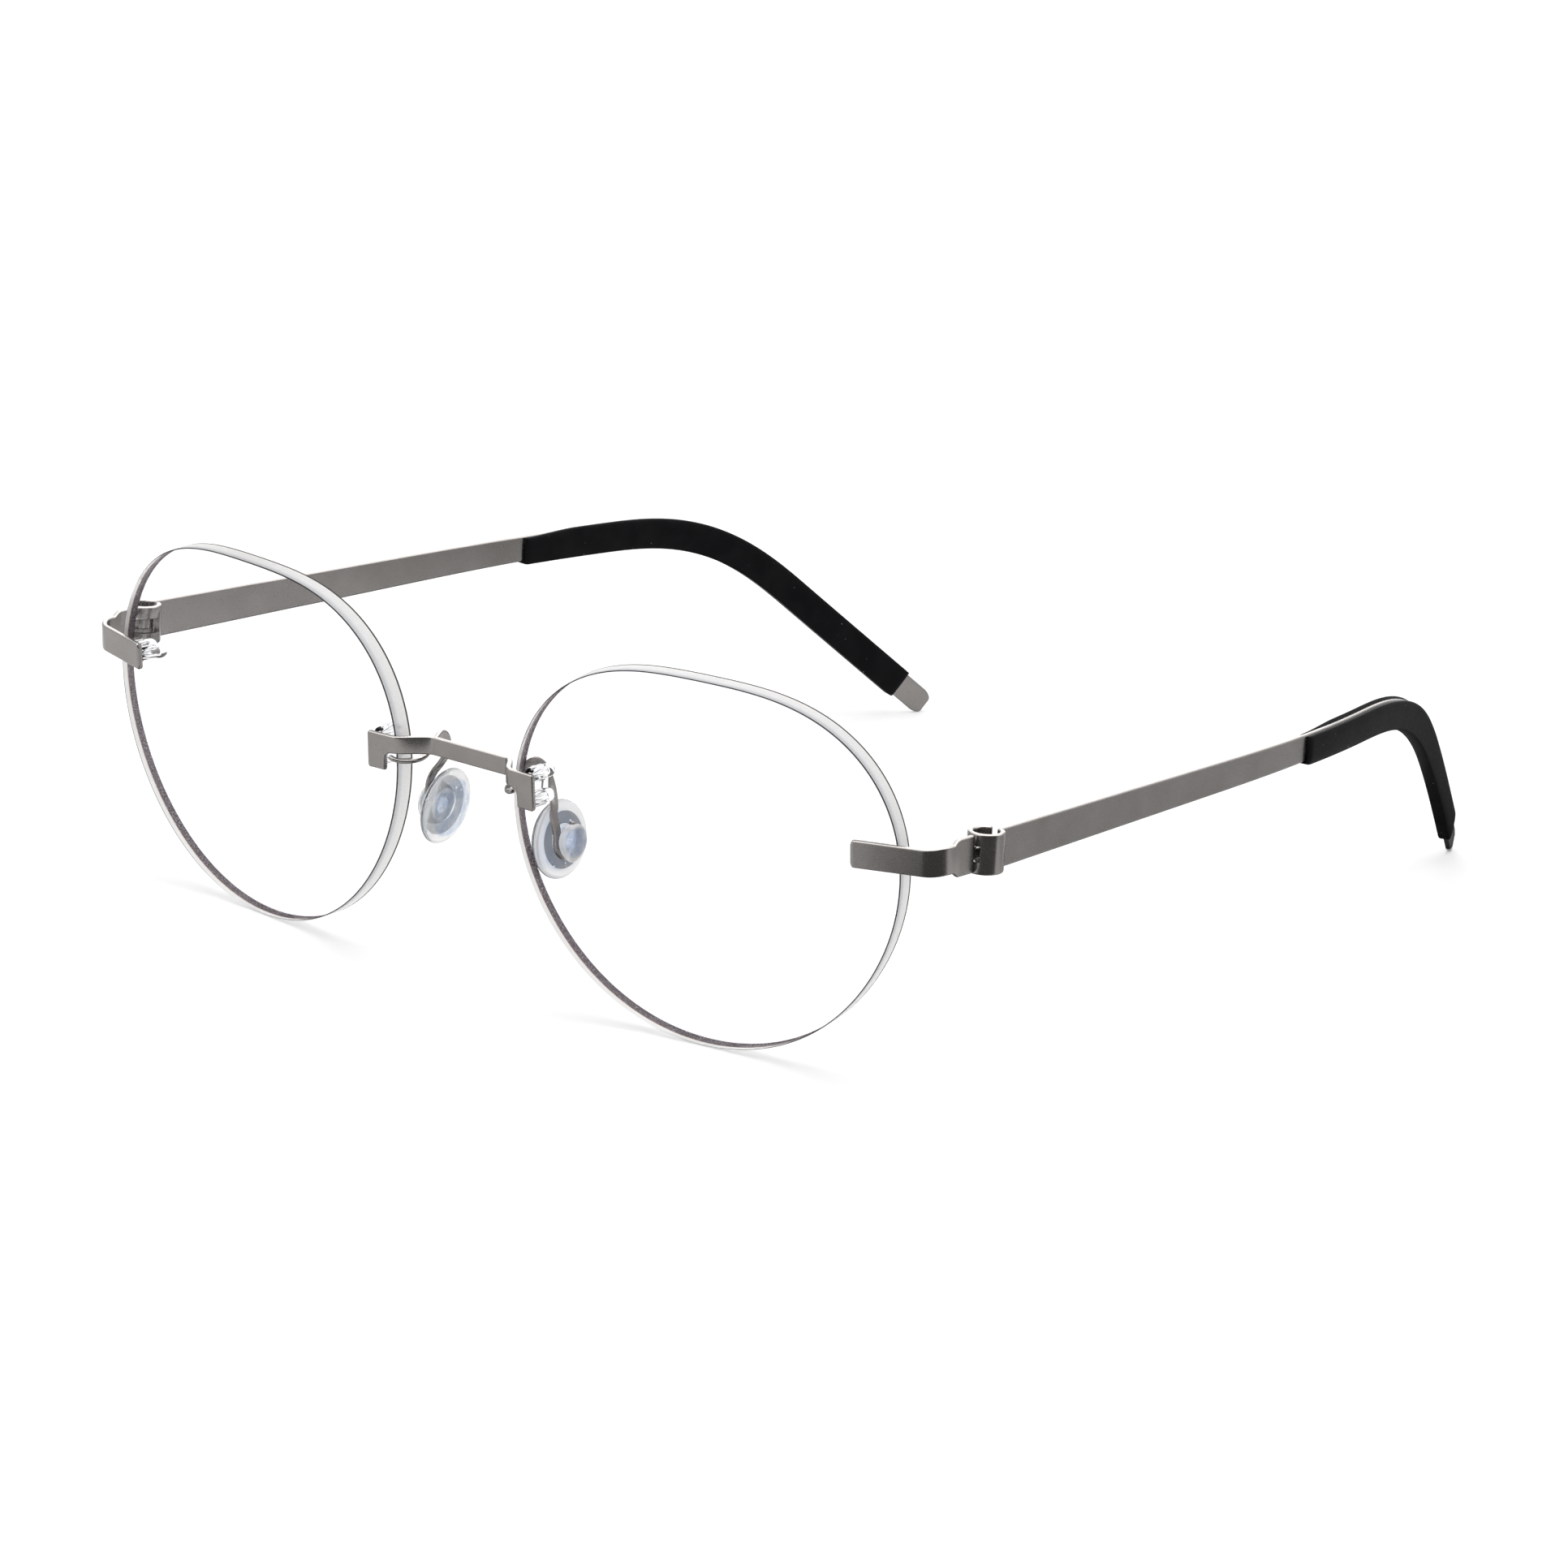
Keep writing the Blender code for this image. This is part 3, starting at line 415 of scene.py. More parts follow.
def length_along(points):
    """The distance along a line of points, from its first point to each."""
    return np.concatenate([[0], np.linalg.norm(np.diff(points, axis=0), axis=1).cumsum()])


def strip_grid(centres, across, low, high, thickness):
    """A bent strip of sheet with rounded edges and ends.

    Each section is a rectangle. It runs from low to high in the direction across, and half the
    thickness to each side. Its corners are quarter circles, and the ends shrink along one too.
    """
    corner = quarter(CORNER_STEPS)
    ends = SHEET_ROUND * (1 - np.cos(np.radians(END_ANGLES)))
    inset = SHEET_ROUND * (1 - np.sin(np.radians(END_ANGLES)))
    length = length_along(centres)
    total = length[-1]
    clear = SHEET_ROUND * END_CLEAR
    inside = length[(length > clear) & (length < total - clear)]
    wanted = np.concatenate([ends, inside, total - ends[::-1]])
    shrink = np.concatenate([inset, np.zeros(len(inside)), inset[::-1]])

    def read(values):
        """A plain number, or values given at the centres, read at the wanted distances."""
        values = np.asarray(values, float)
        if values.ndim == 0:
            return np.full(len(wanted), float(values))
        columns = values.reshape(len(values), -1).T
        found = np.stack([np.interp(wanted, length, column) for column in columns], axis=1)
        return found[:, 0] if values.ndim == 1 else found

    tangents = units(read(along(centres)))
    centre, across, low, high, thickness = (read(value) for value in
                                            (centres, across, low, high, thickness))
    across = units(across - tangents * (across * tangents).sum(axis=1)[:, None])
    normal = np.cross(across, tangents)
    half = thickness / 2 - shrink
    low, high = low + shrink, high - shrink
    radius = np.minimum(SHEET_ROUND - shrink, half)[:, None]
    columns = []
    for side_out, side_up, turned in ((1, 1, corner), (-1, 1, corner[::-1]), (-1, -1, corner),
                                      (1, -1, corner[::-1])):
        out = side_out * (half[:, None] - radius + radius * np.cos(turned))
        edge = np.where(side_up > 0, high, low)[:, None]
        up = edge - side_up * radius + side_up * radius * np.sin(turned)
        columns.append(np.stack([out, up], axis=-1))
    section = np.concatenate(columns, axis=1)
    return centre[:, None] + normal[:, None] * section[..., :1] + across[:, None] * section[..., 1:]


def round_off(distance, radius):
    """How far an outline's edge draws in at a distance from its end, for a round corner."""
    short = np.clip(radius - distance, 0, radius)
    return radius - np.sqrt(radius ** 2 - short ** 2)


def turned_grid(start, axis, stations):
    """A turned solid: each station is a distance along the axis and a radius."""
    one = unit(np.cross(axis, LENS_V))
    two = np.cross(axis, one)
    angles = np.linspace(0, 2 * math.pi, TURNED_SIDES, endpoint=False)
    circle = np.cos(angles)[:, None] * one + np.sin(angles)[:, None] * two
    return np.stack([start + axis * distance + circle * radius for distance, radius in stations])


def set_in(grids, side):
    """Moves grids drawn for the left side about the lens centres' middle to their side and place."""
    return [grid * (side, 1, 1) + FRONT_CENTRE for grid in grids]


def make_piece(node, kind, grids, side, body, slot):
    """A piece that takes the place of one node and rides on a body; its kind ends its name."""
    name = f"{node}_{kind}"
    item = make_item(name, mesh_from(name, set_in(grids, side)))
    item.data.materials.append(FINISHES[slot])
    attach(item, body)
    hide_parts(node)
    return item


def even_normals(item):
    """Large flat faces keep their own normal beside the small faces of a rounded edge."""
    weighted = item.modifiers.new("even_normals", "WEIGHTED_NORMAL")
    weighted.keep_sharp = True
    return item


def cut(item, side, tools, operation="DIFFERENCE", bevel=0.0):
    """Cuts or adds solids given as left-side grids, and softens the edges that this leaves."""
    for grid in set_in(tools, side):
        tool = make_item("tool", mesh_from("tool", [grid]))
        modifier = item.modifiers.new("cut", "BOOLEAN")
        modifier.operation = operation
        modifier.solver = "EXACT"
        modifier.object = tool
        bpy.context.view_layer.update()
        seen = item.evaluated_get(bpy.context.evaluated_depsgraph_get())
        item.data = bpy.data.meshes.new_from_object(seen)
        item.modifiers.clear()
        bpy.data.objects.remove(tool)
    item.data.shade_smooth()
    if bevel:
        soft = item.modifiers.new("soft_edges", "BEVEL")
        soft.width = bevel
        soft.segments = 2
        soft.limit_method = "ANGLE"
        soft.angle_limit = math.radians(BEVEL_ANGLE)
    return item


class Fixing:
    """Two posts through the lens, on both sides of the point u, v and spread apart along U or V."""

    def __init__(self, u, v, spread_u, spread_v):
        self.u = u
        self.axis = unit(LENS_N - LENS_U * u / LENS_FRONT_RADIUS - LENS_V * v / LENS_FRONT_RADIUS)
        self.front = [lens_point(u + sign * spread_u / 2, v + sign * spread_v / 2, 0.0)
                      for sign in (-1, 1)]
        self.spread = self.front[1] - self.front[0]

    def posts(self, radius, start, end):
        """Plain rods on each post's axis, with their far ends rounded."""
        stations = [(start, radius), (end - POST_ROUND, radius),
                    (end - POST_ROUND_MIDDLE, radius - POST_ROUND_MIDDLE), (end, radius - POST_ROUND)]
        return [turned_grid(point, self.axis, stations) for point in self.front]


TAB_FIXING = Fixing(TAB_INNER_U + TAB_WIDTH / 2, BAR_TOP - TAB_HEIGHT / 2, 0.0, TAB_POST_SPACING)
PLATE_FIXING = Fixing(PLATE_INNER_U + BUSH_RADIUS + PLATE_POST_SPACING / 2, PLATE_V,
                      PLATE_POST_SPACING, 0.0)


def make_bridge():
    """One strip: a tab in front of each lens, a jog back at its edge, and the bar between them."""
    tab = lens_point(np.array([TAB_INNER_U, TAB_INNER_U + TAB_WIDTH]), 0.0, -SEAT_GAP - SHEET / 2)
    inner_x, outer_x = tab[:, 0]
    jog_end = inner_x - NOTCH_RADIUS
    slope = (tab[1, 1] - tab[0, 1]) / (outer_x - inner_x)
    xs = np.concatenate([np.linspace(0, jog_end - BRIDGE_JOG, BAR_STEPS)[:-1],
                         np.linspace(jog_end - BRIDGE_JOG, jog_end, JOG_STEPS)[:-1],
                         jog_end + NOTCH_RADIUS * np.sin(quarter(NOTCH_STEPS)),
                         inner_x + SHEET_ROUND * np.array(NOTCH_END_STEPS),
                         outer_x - TAB_CORNER * (1 - np.sin(quarter(TAB_CORNER_STEPS)))])
    forward = ease(xs, jog_end - BRIDGE_JOG, jog_end)
    bar_y = tab[0, 1] + BAR_SET_BACK
    ys = bar_y + (tab[0, 1] + slope * (xs - inner_x) - bar_y) * forward
    bend = np.clip(xs - jog_end, 0, NOTCH_RADIUS)
    low = BAR_TOP - BAR_HEIGHT - (NOTCH_RADIUS - np.sqrt(np.maximum(NOTCH_RADIUS ** 2 - bend ** 2, 0)))
    low = np.where(xs > inner_x, BAR_TOP - TAB_HEIGHT, low) + round_off(outer_x - xs, TAB_CORNER)
    high = BAR_TOP - round_off(outer_x - xs, TAB_CORNER) / 2
    across = UP + (LENS_V - UP) * forward[:, None]
    centres = np.stack([xs, ys, np.zeros(len(xs))], axis=1)
    bar = strip_grid(np.concatenate([(centres * MIRROR)[:0:-1], centres]),
                     np.concatenate([(across * MIRROR)[:0:-1], across]),
                     np.concatenate([low[:0:-1], low]), np.concatenate([high[:0:-1], high]), SHEET)
    posts = TAB_FIXING.posts(POST_RADIUS, -SEAT_GAP - SHEET / 2, POST_END)
    posts += [grid * MIRROR for grid in posts]
    return make_piece("bridge", "bar", [bar] + posts, 1, "front", "titanium")


def make_end_piece(word, side):
    """Plate, bend round the lens edge, knuckle, and the tongue rolled up inside the temple's curl."""
    heading = unit(lens_point(PLATE_FIXING.u + PLATE_HEADING_STEP, 0, 0)
                   - lens_point(PLATE_FIXING.u - PLATE_HEADING_STEP, 0, 0))
    base = lens_point(PLATE_FIXING.u, PLATE_V, -SEAT_GAP - SHEET / 2)
    inner_end = base - heading * (PLATE_FIXING.u - PLATE_INNER_U)
    line_x = HINGE[0] - TONGUE_NECK_OFFSET
    corner = base + heading * (line_x - base[0]) / heading[0]
    heading_angle = math.degrees(math.atan2(heading[1], heading[0]))
    reach = PLATE_BEND_RADIUS * math.tan(math.radians(90 - heading_angle) / 2)
    bend_start = corner - heading * reach / math.hypot(heading[0], heading[1])
    bend = arc((line_x - PLATE_BEND_RADIUS, corner[1] + reach), PLATE_BEND_RADIUS,
               heading_angle - 90, 0, PLATE_BEND_STEPS)
    turn_radius = (CURL_RADIUS - SHEET) - CURL_FIT - TONGUE_SHEET / 2
    neck_x = -TONGUE_NECK_OFFSET - TONGUE_NECK_RADIUS
    neck_y = -math.sqrt((turn_radius + TONGUE_NECK_RADIUS) ** 2 - neck_x ** 2)
    meet = math.degrees(math.atan2(-neck_y, -neck_x))
    neck = HINGE[:2] + arc((neck_x, neck_y), TONGUE_NECK_RADIUS, 0, meet, TONGUE_NECK_STEPS)
    roll = HINGE[:2] + arc((0, 0), turn_radius, 180 + meet, 180 + meet - TONGUE_SWEEP,
                           TONGUE_ROLL_STEPS)[1:]
    knuckle_end = HINGE[1] - CURL_RADIUS - TONGUE_FIT
    flare_end = knuckle_end - KNUCKLE_LENGTH
    flare_start = flare_end - (KNUCKLE_HEIGHT - PLATE_HEIGHT)
    line_y = np.concatenate([np.linspace(flare_start, flare_end, FLARE_STEPS),
                             np.linspace(flare_end, knuckle_end, KNUCKLE_STEPS)[1:],
                             knuckle_end + np.array(TONGUE_STEPS)])
    line = np.stack([np.full(len(line_y), line_x), line_y], axis=1)
    plate = np.linspace(inner_end, bend_start, PLATE_STEPS)[:-1]
    plan = np.concatenate([plate[:, :2], bend, line, neck, roll])
    first_bend, first_line = len(plate), len(plate) + len(bend)
    tongue = first_line + len(line) - len(TONGUE_STEPS)
    level = np.full(len(plan), HINGE[2])
    level[:first_bend] = plate[:, 2]
    share = ease(np.linspace(0, 1, len(bend)), 0, 1)
    level[first_bend:first_line] = bend_start[2] + (HINGE[2] - bend_start[2]) * share
    distance = np.linalg.norm(plate - inner_end, axis=1)
    half = np.full(len(plan), PLATE_HEIGHT / 2)
    half[:first_bend] -= round_off(distance, PLATE_CORNER)
    flare = np.clip((line_y - flare_start) / (flare_end - flare_start), 0, 1)
    half[first_line:first_line + len(line)] += (KNUCKLE_HEIGHT - PLATE_HEIGHT) / 2 * ease(flare, 0, 1)
    half[tongue:] = WINDOW_HEIGHT / 2 - TONGUE_FIT
    across = np.tile(UP, (len(plan), 1))
    across[:first_bend] = LENS_V
    across[first_bend:first_line] += (LENS_V - UP) * (1 - share)[:, None]
    thickness = np.full(len(plan), SHEET)
    thickness[tongue:] = TONGUE_SHEET
    sheet = strip_grid(np.column_stack([plan, level]), across, -half, half, thickness)
    posts = PLATE_FIXING.posts(POST_RADIUS, -SEAT_GAP - SHEET / 2, POST_END)
    return make_piece(f"end_piece_{word}", "sheet", [sheet] + posts, side, "front", "titanium")


class TemplePath:
    """The temple's centre line behind its curl, from how far it has turned in and down."""

    def __init__(self):
        splay = math.radians(TEMPLE_SPLAY)
        self.spin = np.array([[math.cos(splay), -math.sin(splay)],
                              [math.sin(splay), math.cos(splay)]])
        self.curl_mid = CURL_RADIUS - SHEET / 2
        neck_x = CURL_NECK_OFFSET + CURL_NECK_RADIUS
        neck_y = math.sqrt((self.curl_mid + CURL_NECK_RADIUS) ** 2 - neck_x ** 2)
        self.neck_centre = (neck_x, neck_y)
        self.meet = math.degrees(math.atan2(neck_y, neck_x))
        start = self.plan(np.array([[CURL_NECK_OFFSET, neck_y]]))[0]
        self.fine = np.linspace(0, PATH_REACH, PATH_STEPS)
        self.yaw = np.radians(TEMPLE_SPLAY + TEMPLE_INWARD * ease(self.fine, INWARD_START, INWARD_END))
        self.pitch = np.radians(TEMPLE_FALL + EAR_DROP * ease(self.fine, EAR_BEND_START, EAR_BEND_END))
        tangent = np.stack([-np.sin(self.yaw) * np.cos(self.pitch),
                            np.cos(self.yaw) * np.cos(self.pitch), -np.sin(self.pitch)], axis=1)
        steps = (tangent[1:] + tangent[:-1]) / 2 * (self.fine[1] - self.fine[0])
        self.points = np.array([*start, HINGE[2]]) + np.concatenate([[[0, 0, 0]], steps.cumsum(axis=0)])
        self.length = self.length_to_floor()

    def plan(self, local):
        """Plan points of the curl, given about the hinge with the temple along +Y."""
        return HINGE[:2] + local @ self.spin.T

    def at(self, s):
        """Centre, width direction and outward normal at distances s from the curl's neck."""
        centre = np.stack([np.interp(s, self.fine, self.points[:, k]) for k in range(3)], axis=1)
        yaw, pitch = np.interp(s, self.fine, self.yaw), np.interp(s, self.fine, self.pitch)
        width = np.stack([-np.sin(yaw) * np.sin(pitch), np.cos(yaw) * np.sin(pitch), np.cos(pitch)],
                         axis=1)
        return centre, width, np.stack([np.cos(yaw), np.sin(yaw), 0 * yaw], axis=1)

    def half_height(self, s, length):
        """Half the strip's height: a long taper, then a rounded tip."""
        taper = TEMPLE_START_HEIGHT + (TEMPLE_HEIGHT - TEMPLE_START_HEIGHT) * np.clip(
            s / SLEEVE_START, 0, 1)
        into = np.clip(1 - (length - s) / TIP_ROUND, 0, 1)
        return taper / 2 * (1 - TIP_NARROWING * (1 - np.sqrt(1 - into ** 2 * TIP_BLUNTNESS)))

    def length_to_floor(self):
        """The length at which the tip just touches what the lenses stand on."""
        length = EAR_BEND_END
        for _ in range(LENGTH_TRIES):
            s = np.linspace(length - TIP_ROUND, length, TIP_STEPS + 1)
            centre, width, _normal = self.at(s)
            lowest = (centre - width * self.half_height(s, length)[:, None])[:, 2].min()
            length += (lowest - FLOOR) / math.sin(self.pitch[-1])
        return length


def make_temple(path, word, side):
    """The temple: a curl with a window for the tongue, a neck, then the strip to its tip."""
    curl = path.plan(arc((0, 0), path.curl_mid, CURL_FREE_END, 360 + path.meet, CURL_STEPS))
    neck = path.plan(arc(path.neck_centre, CURL_NECK_RADIUS, 180 + path.meet, 180, CURL_NECK_STEPS)[1:-1])
    s = np.concatenate([np.linspace(0, SLEEVE_START, TEMPLE_STEPS)[:-1],
                        np.linspace(SLEEVE_START, path.length - TIP_ROUND, TEMPLE_END_STEPS)[:-1],
                        path.length - TIP_ROUND * np.linspace(1, 0, TIP_STEPS) ** 2])
    centre, width, _normal = path.at(s)
    rolled = np.concatenate([curl, neck])
    rolled = np.column_stack([rolled, np.full(len(rolled), HINGE[2])])
    half = np.concatenate([np.full(len(curl), CURL_HEIGHT / 2),
                           np.linspace(CURL_HEIGHT, TEMPLE_START_HEIGHT, len(neck)) / 2,
                           path.half_height(s, path.length)])
    across = np.concatenate([np.tile(UP, (len(rolled), 1)), width])
    sheet = strip_grid(np.concatenate([rolled, centre]), across, -half, half, SHEET)
    item = make_piece(f"temple_{word}", "strip", [sheet], side, f"{word}_temple", "titanium")
    outside, inside = (CURL_RADIUS * share for share in WINDOW_CUT_SHARES)
    wedge = path.plan(np.concatenate([
        arc((0, 0), outside, WINDOW_START, WINDOW_END, WINDOW_OUTER_STEPS),
        arc((0, 0), inside, WINDOW_END, WINDOW_START, WINDOW_INNER_STEPS)]))
    window = np.stack([np.column_stack([wedge, np.full(len(wedge), HINGE[2] + level)])
                       for level in (-WINDOW_HEIGHT / 2, WINDOW_HEIGHT / 2)])
    return cut(item, side, [window], bevel=WINDOW_BEVEL)


def make_sleeve(path, word, side):
    """A rubber channel over the temple end. At the front, its walls stop short of the sheet's top.

    Each face swells as (1 - |w|^p)^(1/p) between its top and bottom edges, at w = 1 and -1.
    """
    start, end = SLEEVE_START, path.length - SLEEVE_TIP_GAP
    rounded = SLEEVE_ROUND * (1 - np.cos(quarter(SLEEVE_END_STEPS)))
    s = np.concatenate([start + rounded,
                        np.linspace(start + SLEEVE_ROUND, end - SLEEVE_ROUND, SLEEVE_STEPS)[1:-1],
                        end - rounded[::-1]])
    centre, width, normal = path.at(s)
    from_end = np.minimum(s - start, end - s) / SLEEVE_ROUND
    swell = np.sqrt(1 - np.clip(1 - from_end, 0, 1) ** 2 * SLEEVE_SWELL)
    half = path.half_height(s, path.length)
    slot = SHEET / 2 + SLEEVE_FIT
    wall = slot + SLEEVE_WALL * swell
    floor = -half - SLEEVE_FIT
    under = floor - SLEEVE_FLOOR * swell
    rise = SLEEVE_LOW_LIP + SLEEVE_HIGH_LIP
    inner_top = half - SLEEVE_LOW_LIP + rise * ease(s, start, start + SLEEVE_INNER_RISE)
    outer_top = half - SLEEVE_LOW_LIP + rise * ease(s, SLEEVE_COVER_START, SLEEVE_COVER_END)
    w = np.sin(np.radians(np.linspace(90, -90, PILLOW_STEPS)))
    pillow = (1 - np.abs(w) ** SLEEVE_PILLOW) ** (1 / SLEEVE_PILLOW)
    bulge = SLEEVE_TOP_SHARE + (1 - SLEEVE_TOP_SHARE) * pillow
    outline = [(slot, floor), (slot, outer_top)]
    outline += [(slot + (wall - slot) * share, (outer_top + under) / 2 + (outer_top - under) / 2 * up)
                for share, up in zip(bulge, w)]
    outline += [(-slot - (wall - slot) * share, (inner_top + under) / 2 + (inner_top - under) / 2 * up)
                for share, up in zip(bulge[::-1], w[::-1])]
    outline += [(-slot, inner_top), (-slot, floor)]
    rings = np.stack([centre + normal * np.broadcast_to(out, len(s))[:, None]
                      + width * np.broadcast_to(up, len(s))[:, None] for out, up in outline], axis=1)
    return make_piece(f"temple_sleeve_{word}", "rubber", [rings], side, f"{word}_temple", "rubber")


def make_lens(word, side):
    """A domed clear disc of even thickness, drilled for its four posts, with a ground edge.

    Rings run from the middle of the front over the edge to the middle of the back. The edge's UV is
    the share of the way round and the share of the thickness.
    """
    angles = np.linspace(0, 2 * math.pi, LENS_SEGMENTS, endpoint=False)
    edge = lens_outline(angles)
    inner = 1 - LENS_EDGE_BEVEL / (LENS_WIDTH / 2)
    faces = [(share, 0.0) for share in LENS_RINGS] + [(inner, 0.0)]
    ground = [(1.0, LENS_EDGE_BEVEL), (1.0, LENS_THICKNESS - LENS_EDGE_BEVEL)]
    profile = faces + ground + [(share, LENS_THICKNESS) for share, _depth in faces[::-1]]
    rings = np.stack([lens_point(edge * np.cos(angles) * share, edge * np.sin(angles) * share, depth)
                      for share, depth in profile])
    item = make_piece(f"lens_{word}", "clear", [rings], side, "front", "lens")
    mesh = item.data
    mesh.materials.append(FINISHES["lens_edge"])
    is_ground = np.zeros(len(mesh.polygons), int)
    is_ground[(len(faces) - 1) * LENS_SEGMENTS:(len(faces) + 2) * LENS_SEGMENTS] = 1
    mesh.polygons.foreach_set("material_index", is_ground)
    # The edge UV's share of the thickness places the ground edge's painted bands of light and shade
    corners = np.zeros(len(mesh.loops), int)
    mesh.loops.foreach_get("vertex_index", corners)
    depth = np.array([depth for _share, depth in profile])[corners // LENS_SEGMENTS]
    way = corners % LENS_SEGMENTS / LENS_SEGMENTS
    mesh.uv_layers.new(name="edge").uv.foreach_set(
        "vector", np.stack([way, depth / LENS_THICKNESS], axis=1).ravel())
    for fixing in (TAB_FIXING, PLATE_FIXING):
        cut(item, side, fixing.posts(HOLE_RADIUS, -LENS_THICKNESS, 2 * LENS_THICKNESS))
    item.data.set_sharp_from_angle(angle=math.radians(LENS_SHARP_ANGLE))
    return item


def make_bush(node, fixing, side):
    """A clear double bush: two domed sleeves through the lens, joined by a web behind it."""
    back = LENS_THICKNESS + SEAT_GAP
    dome = back + BUSH_WEB + BUSH_DOME
    stations = [(0.0, BUSH_RADIUS - BUSH_ROUND), (BUSH_ROUND, BUSH_RADIUS),
                (dome - BUSH_RADIUS, BUSH_RADIUS)]
    stations += [(dome - BUSH_RADIUS * (1 - math.sin(a)), BUSH_RADIUS * math.cos(a))
                 for a in np.radians(DOME_ANGLES)]
    sleeves = [turned_grid(point, fixing.axis, stations) for point in fixing.front]
    middle = fixing.front[0] + fixing.axis * (back + BUSH_WEB / 2)
    line = np.linspace(middle - fixing.spread * BUSH_WEB_OVERHANG,
                       middle + fixing.spread * (1 + BUSH_WEB_OVERHANG), WEB_STEPS)
    web_across = np.tile(np.cross(fixing.axis, unit(fixing.spread)), (len(line), 1))
    half_web = BUSH_RADIUS * BUSH_WEB_SHARE
    web = strip_grid(line, web_across, -half_web, half_web, BUSH_WEB)
    item = make_piece(node, "clear", sleeves[:1], side, "front", "bush")
    cut(item, side, [sleeves[1], web], "UNION")
    return cut(item, side, fixing.posts(POST_RADIUS + BUSH_FIT, -LENS_THICKNESS, POST_END + BUSH_FIT))


def smooth_through(points, count):
    """A Catmull-Rom curve through the points, with count readings between each two."""
    points = np.array(points, float)
    ends = np.concatenate([[2 * points[0] - points[1]], points, [2 * points[-1] - points[-2]]])
    before, a, b, after = (ends[k:len(ends) - 3 + k, None] for k in range(4))
    t = np.linspace(0, 1, count, endpoint=False)[None, :, None]
    curve = 0.5 * (2 * a + (b - before) * t + (2 * before - 5 * a + 4 * b - after) * t ** 2
                   + (3 * a - before - 3 * b + after) * t ** 3)
    return np.concatenate([curve.reshape(-1, points.shape[1]), points[-1:]])


def button_radius(angles):
    """A heart-like outline: a dip at the top and a slight point at the bottom, each with its width."""
    (dip, dip_width), (point, point_width) = PAD_BUTTON_DIP, PAD_BUTTON_POINT
    return PAD_BUTTON_RADIUS * (1 - dip * np.exp(-((angles - math.pi / 2) / dip_width) ** 2)
                                + point * np.exp(-((angles - 3 * math.pi / 2) / point_width) ** 2))


def make_pad_arm(word, side):
    """One narrow strip from the tab's notch, under and behind the bar, down, and round the pad's neck.

    The hook follows an oval about the pad's middle; the strip turns from lying flat to facing the pad.
    """
    middle_u = (EYELET_WIDTH / 2 + EYELET_HOLE_RADIUS) / 2
    middle_v = (EYELET_HEIGHT / 2 + EYELET_HOLE_RADIUS) / 2
    angles = np.radians(np.linspace(EYELET_START, EYELET_END, HOOK_STEPS))[:, None]
    hook = PAD_CENTRE + PAD_BACK * np.cos(angles) * middle_u + PAD_UP * np.sin(angles) * middle_v
    route = smooth_through(np.concatenate([ARM_ROUTE, hook]), ARM_STEPS)
    length = length_along(route)
    turned = ease(length / length[-1], *ARM_TWIST)[:, None]
    across = np.cross(UP + (PAD_OUT - UP) * turned, along(route))
    width = ARM_ROOT_WIDTH + (ARM_WIDTH - ARM_ROOT_WIDTH) * ease(length, 0, ARM_WIDENING)
    strip = strip_grid(route, across, -width / 2, width / 2, ARM_SHEET)
    return make_piece(f"nose_pad_arm_{word}", "strip", [strip], side, "front", "titanium")


def make_pad(word, side):
    """A soft oval pad; its neck passes the arm's hook and ends in a button that holds it.

    Rings of an oval, a circle and a heart, with their shares and depths smoothed by a curve. The
    attribute "rim" is each ring's share of its part's half height.
    """
    play = ARM_SHEET / 2 + PAD_PLAY
    face = -play - PAD_THICKNESS
    angles = np.linspace(0, 2 * math.pi, PAD_SEGMENTS, endpoint=False)
    circle = np.stack([np.cos(angles), np.sin(angles)], axis=1)
    oval = circle * (PAD_WIDTH / 2, PAD_HEIGHT / 2)
    button = circle * button_radius(angles)[:, None]
    profile = [(oval * share, face + PAD_THICKNESS * depth)
               for share, depth in smooth_through(PAD_SECTION, PAD_STEPS)]
    profile += [(circle * PAD_NECK_RADIUS * share, play * depth)
                for share, depth in smooth_through(PAD_NECK_SECTION, PAD_NECK_STEPS)]
    profile += [(button * share, play + PAD_BUTTON_THICKNESS * depth)
                for share, depth in smooth_through(PAD_BUTTON_SECTION, PAD_STEPS)]
    rings = np.stack([PAD_CENTRE + flat[:, :1] * PAD_BACK + flat[:, 1:] * PAD_UP + PAD_OUT * out
                      for flat, out in profile])
    item = make_piece(f"nose_pad_{word}", "silicone", [rings], side, f"{word}_pad", "silicone")
    # Each ring's reach to the outline; the silicone uses it to place its painted rim highlight and painted
    # dark outline
    top = PAD_SEGMENTS // 4
    reach = [np.linalg.norm(flat[top])
             / (PAD_HEIGHT / 2 if out < -play else PAD_BUTTON_RADIUS * PAD_BUTTON_RIM)
             for flat, out in profile]
    rim = item.data.attributes.new("rim", "FLOAT", "POINT")
    rim.data.foreach_set("value", np.repeat(reach, len(angles)).astype(np.float32))
    return item


def principled(name, **values):
    """A Principled material with plain values set on the shader's own sockets."""
    made = bpy.data.materials.new(name)
    made.use_nodes = True
    shader = made.node_tree.nodes["Principled BSDF"]
    for socket, value in values.items():
        shader.inputs[socket.replace("_", " ")].default_value = value
    return made, shader


def new_node(made, kind):
    """A new node in the tree of a material or of the world."""
    return made.node_tree.nodes.new("ShaderNode" + kind)


def feed(made, socket, value):
    """Gives a socket a plain number, a colour, or another node's output."""
    if isinstance(value, (int, float)):
        socket.default_value = value
    elif isinstance(value, tuple):
        socket.default_value = (*value, 1.0)
    else:
        made.node_tree.links.new(value, socket)


def vary(made, shader, **outputs):
    """Links nodes' outputs to the shader's sockets of these names."""
    for socket, output in outputs.items():
        feed(made, shader.inputs[socket.replace("_", " ")], output)


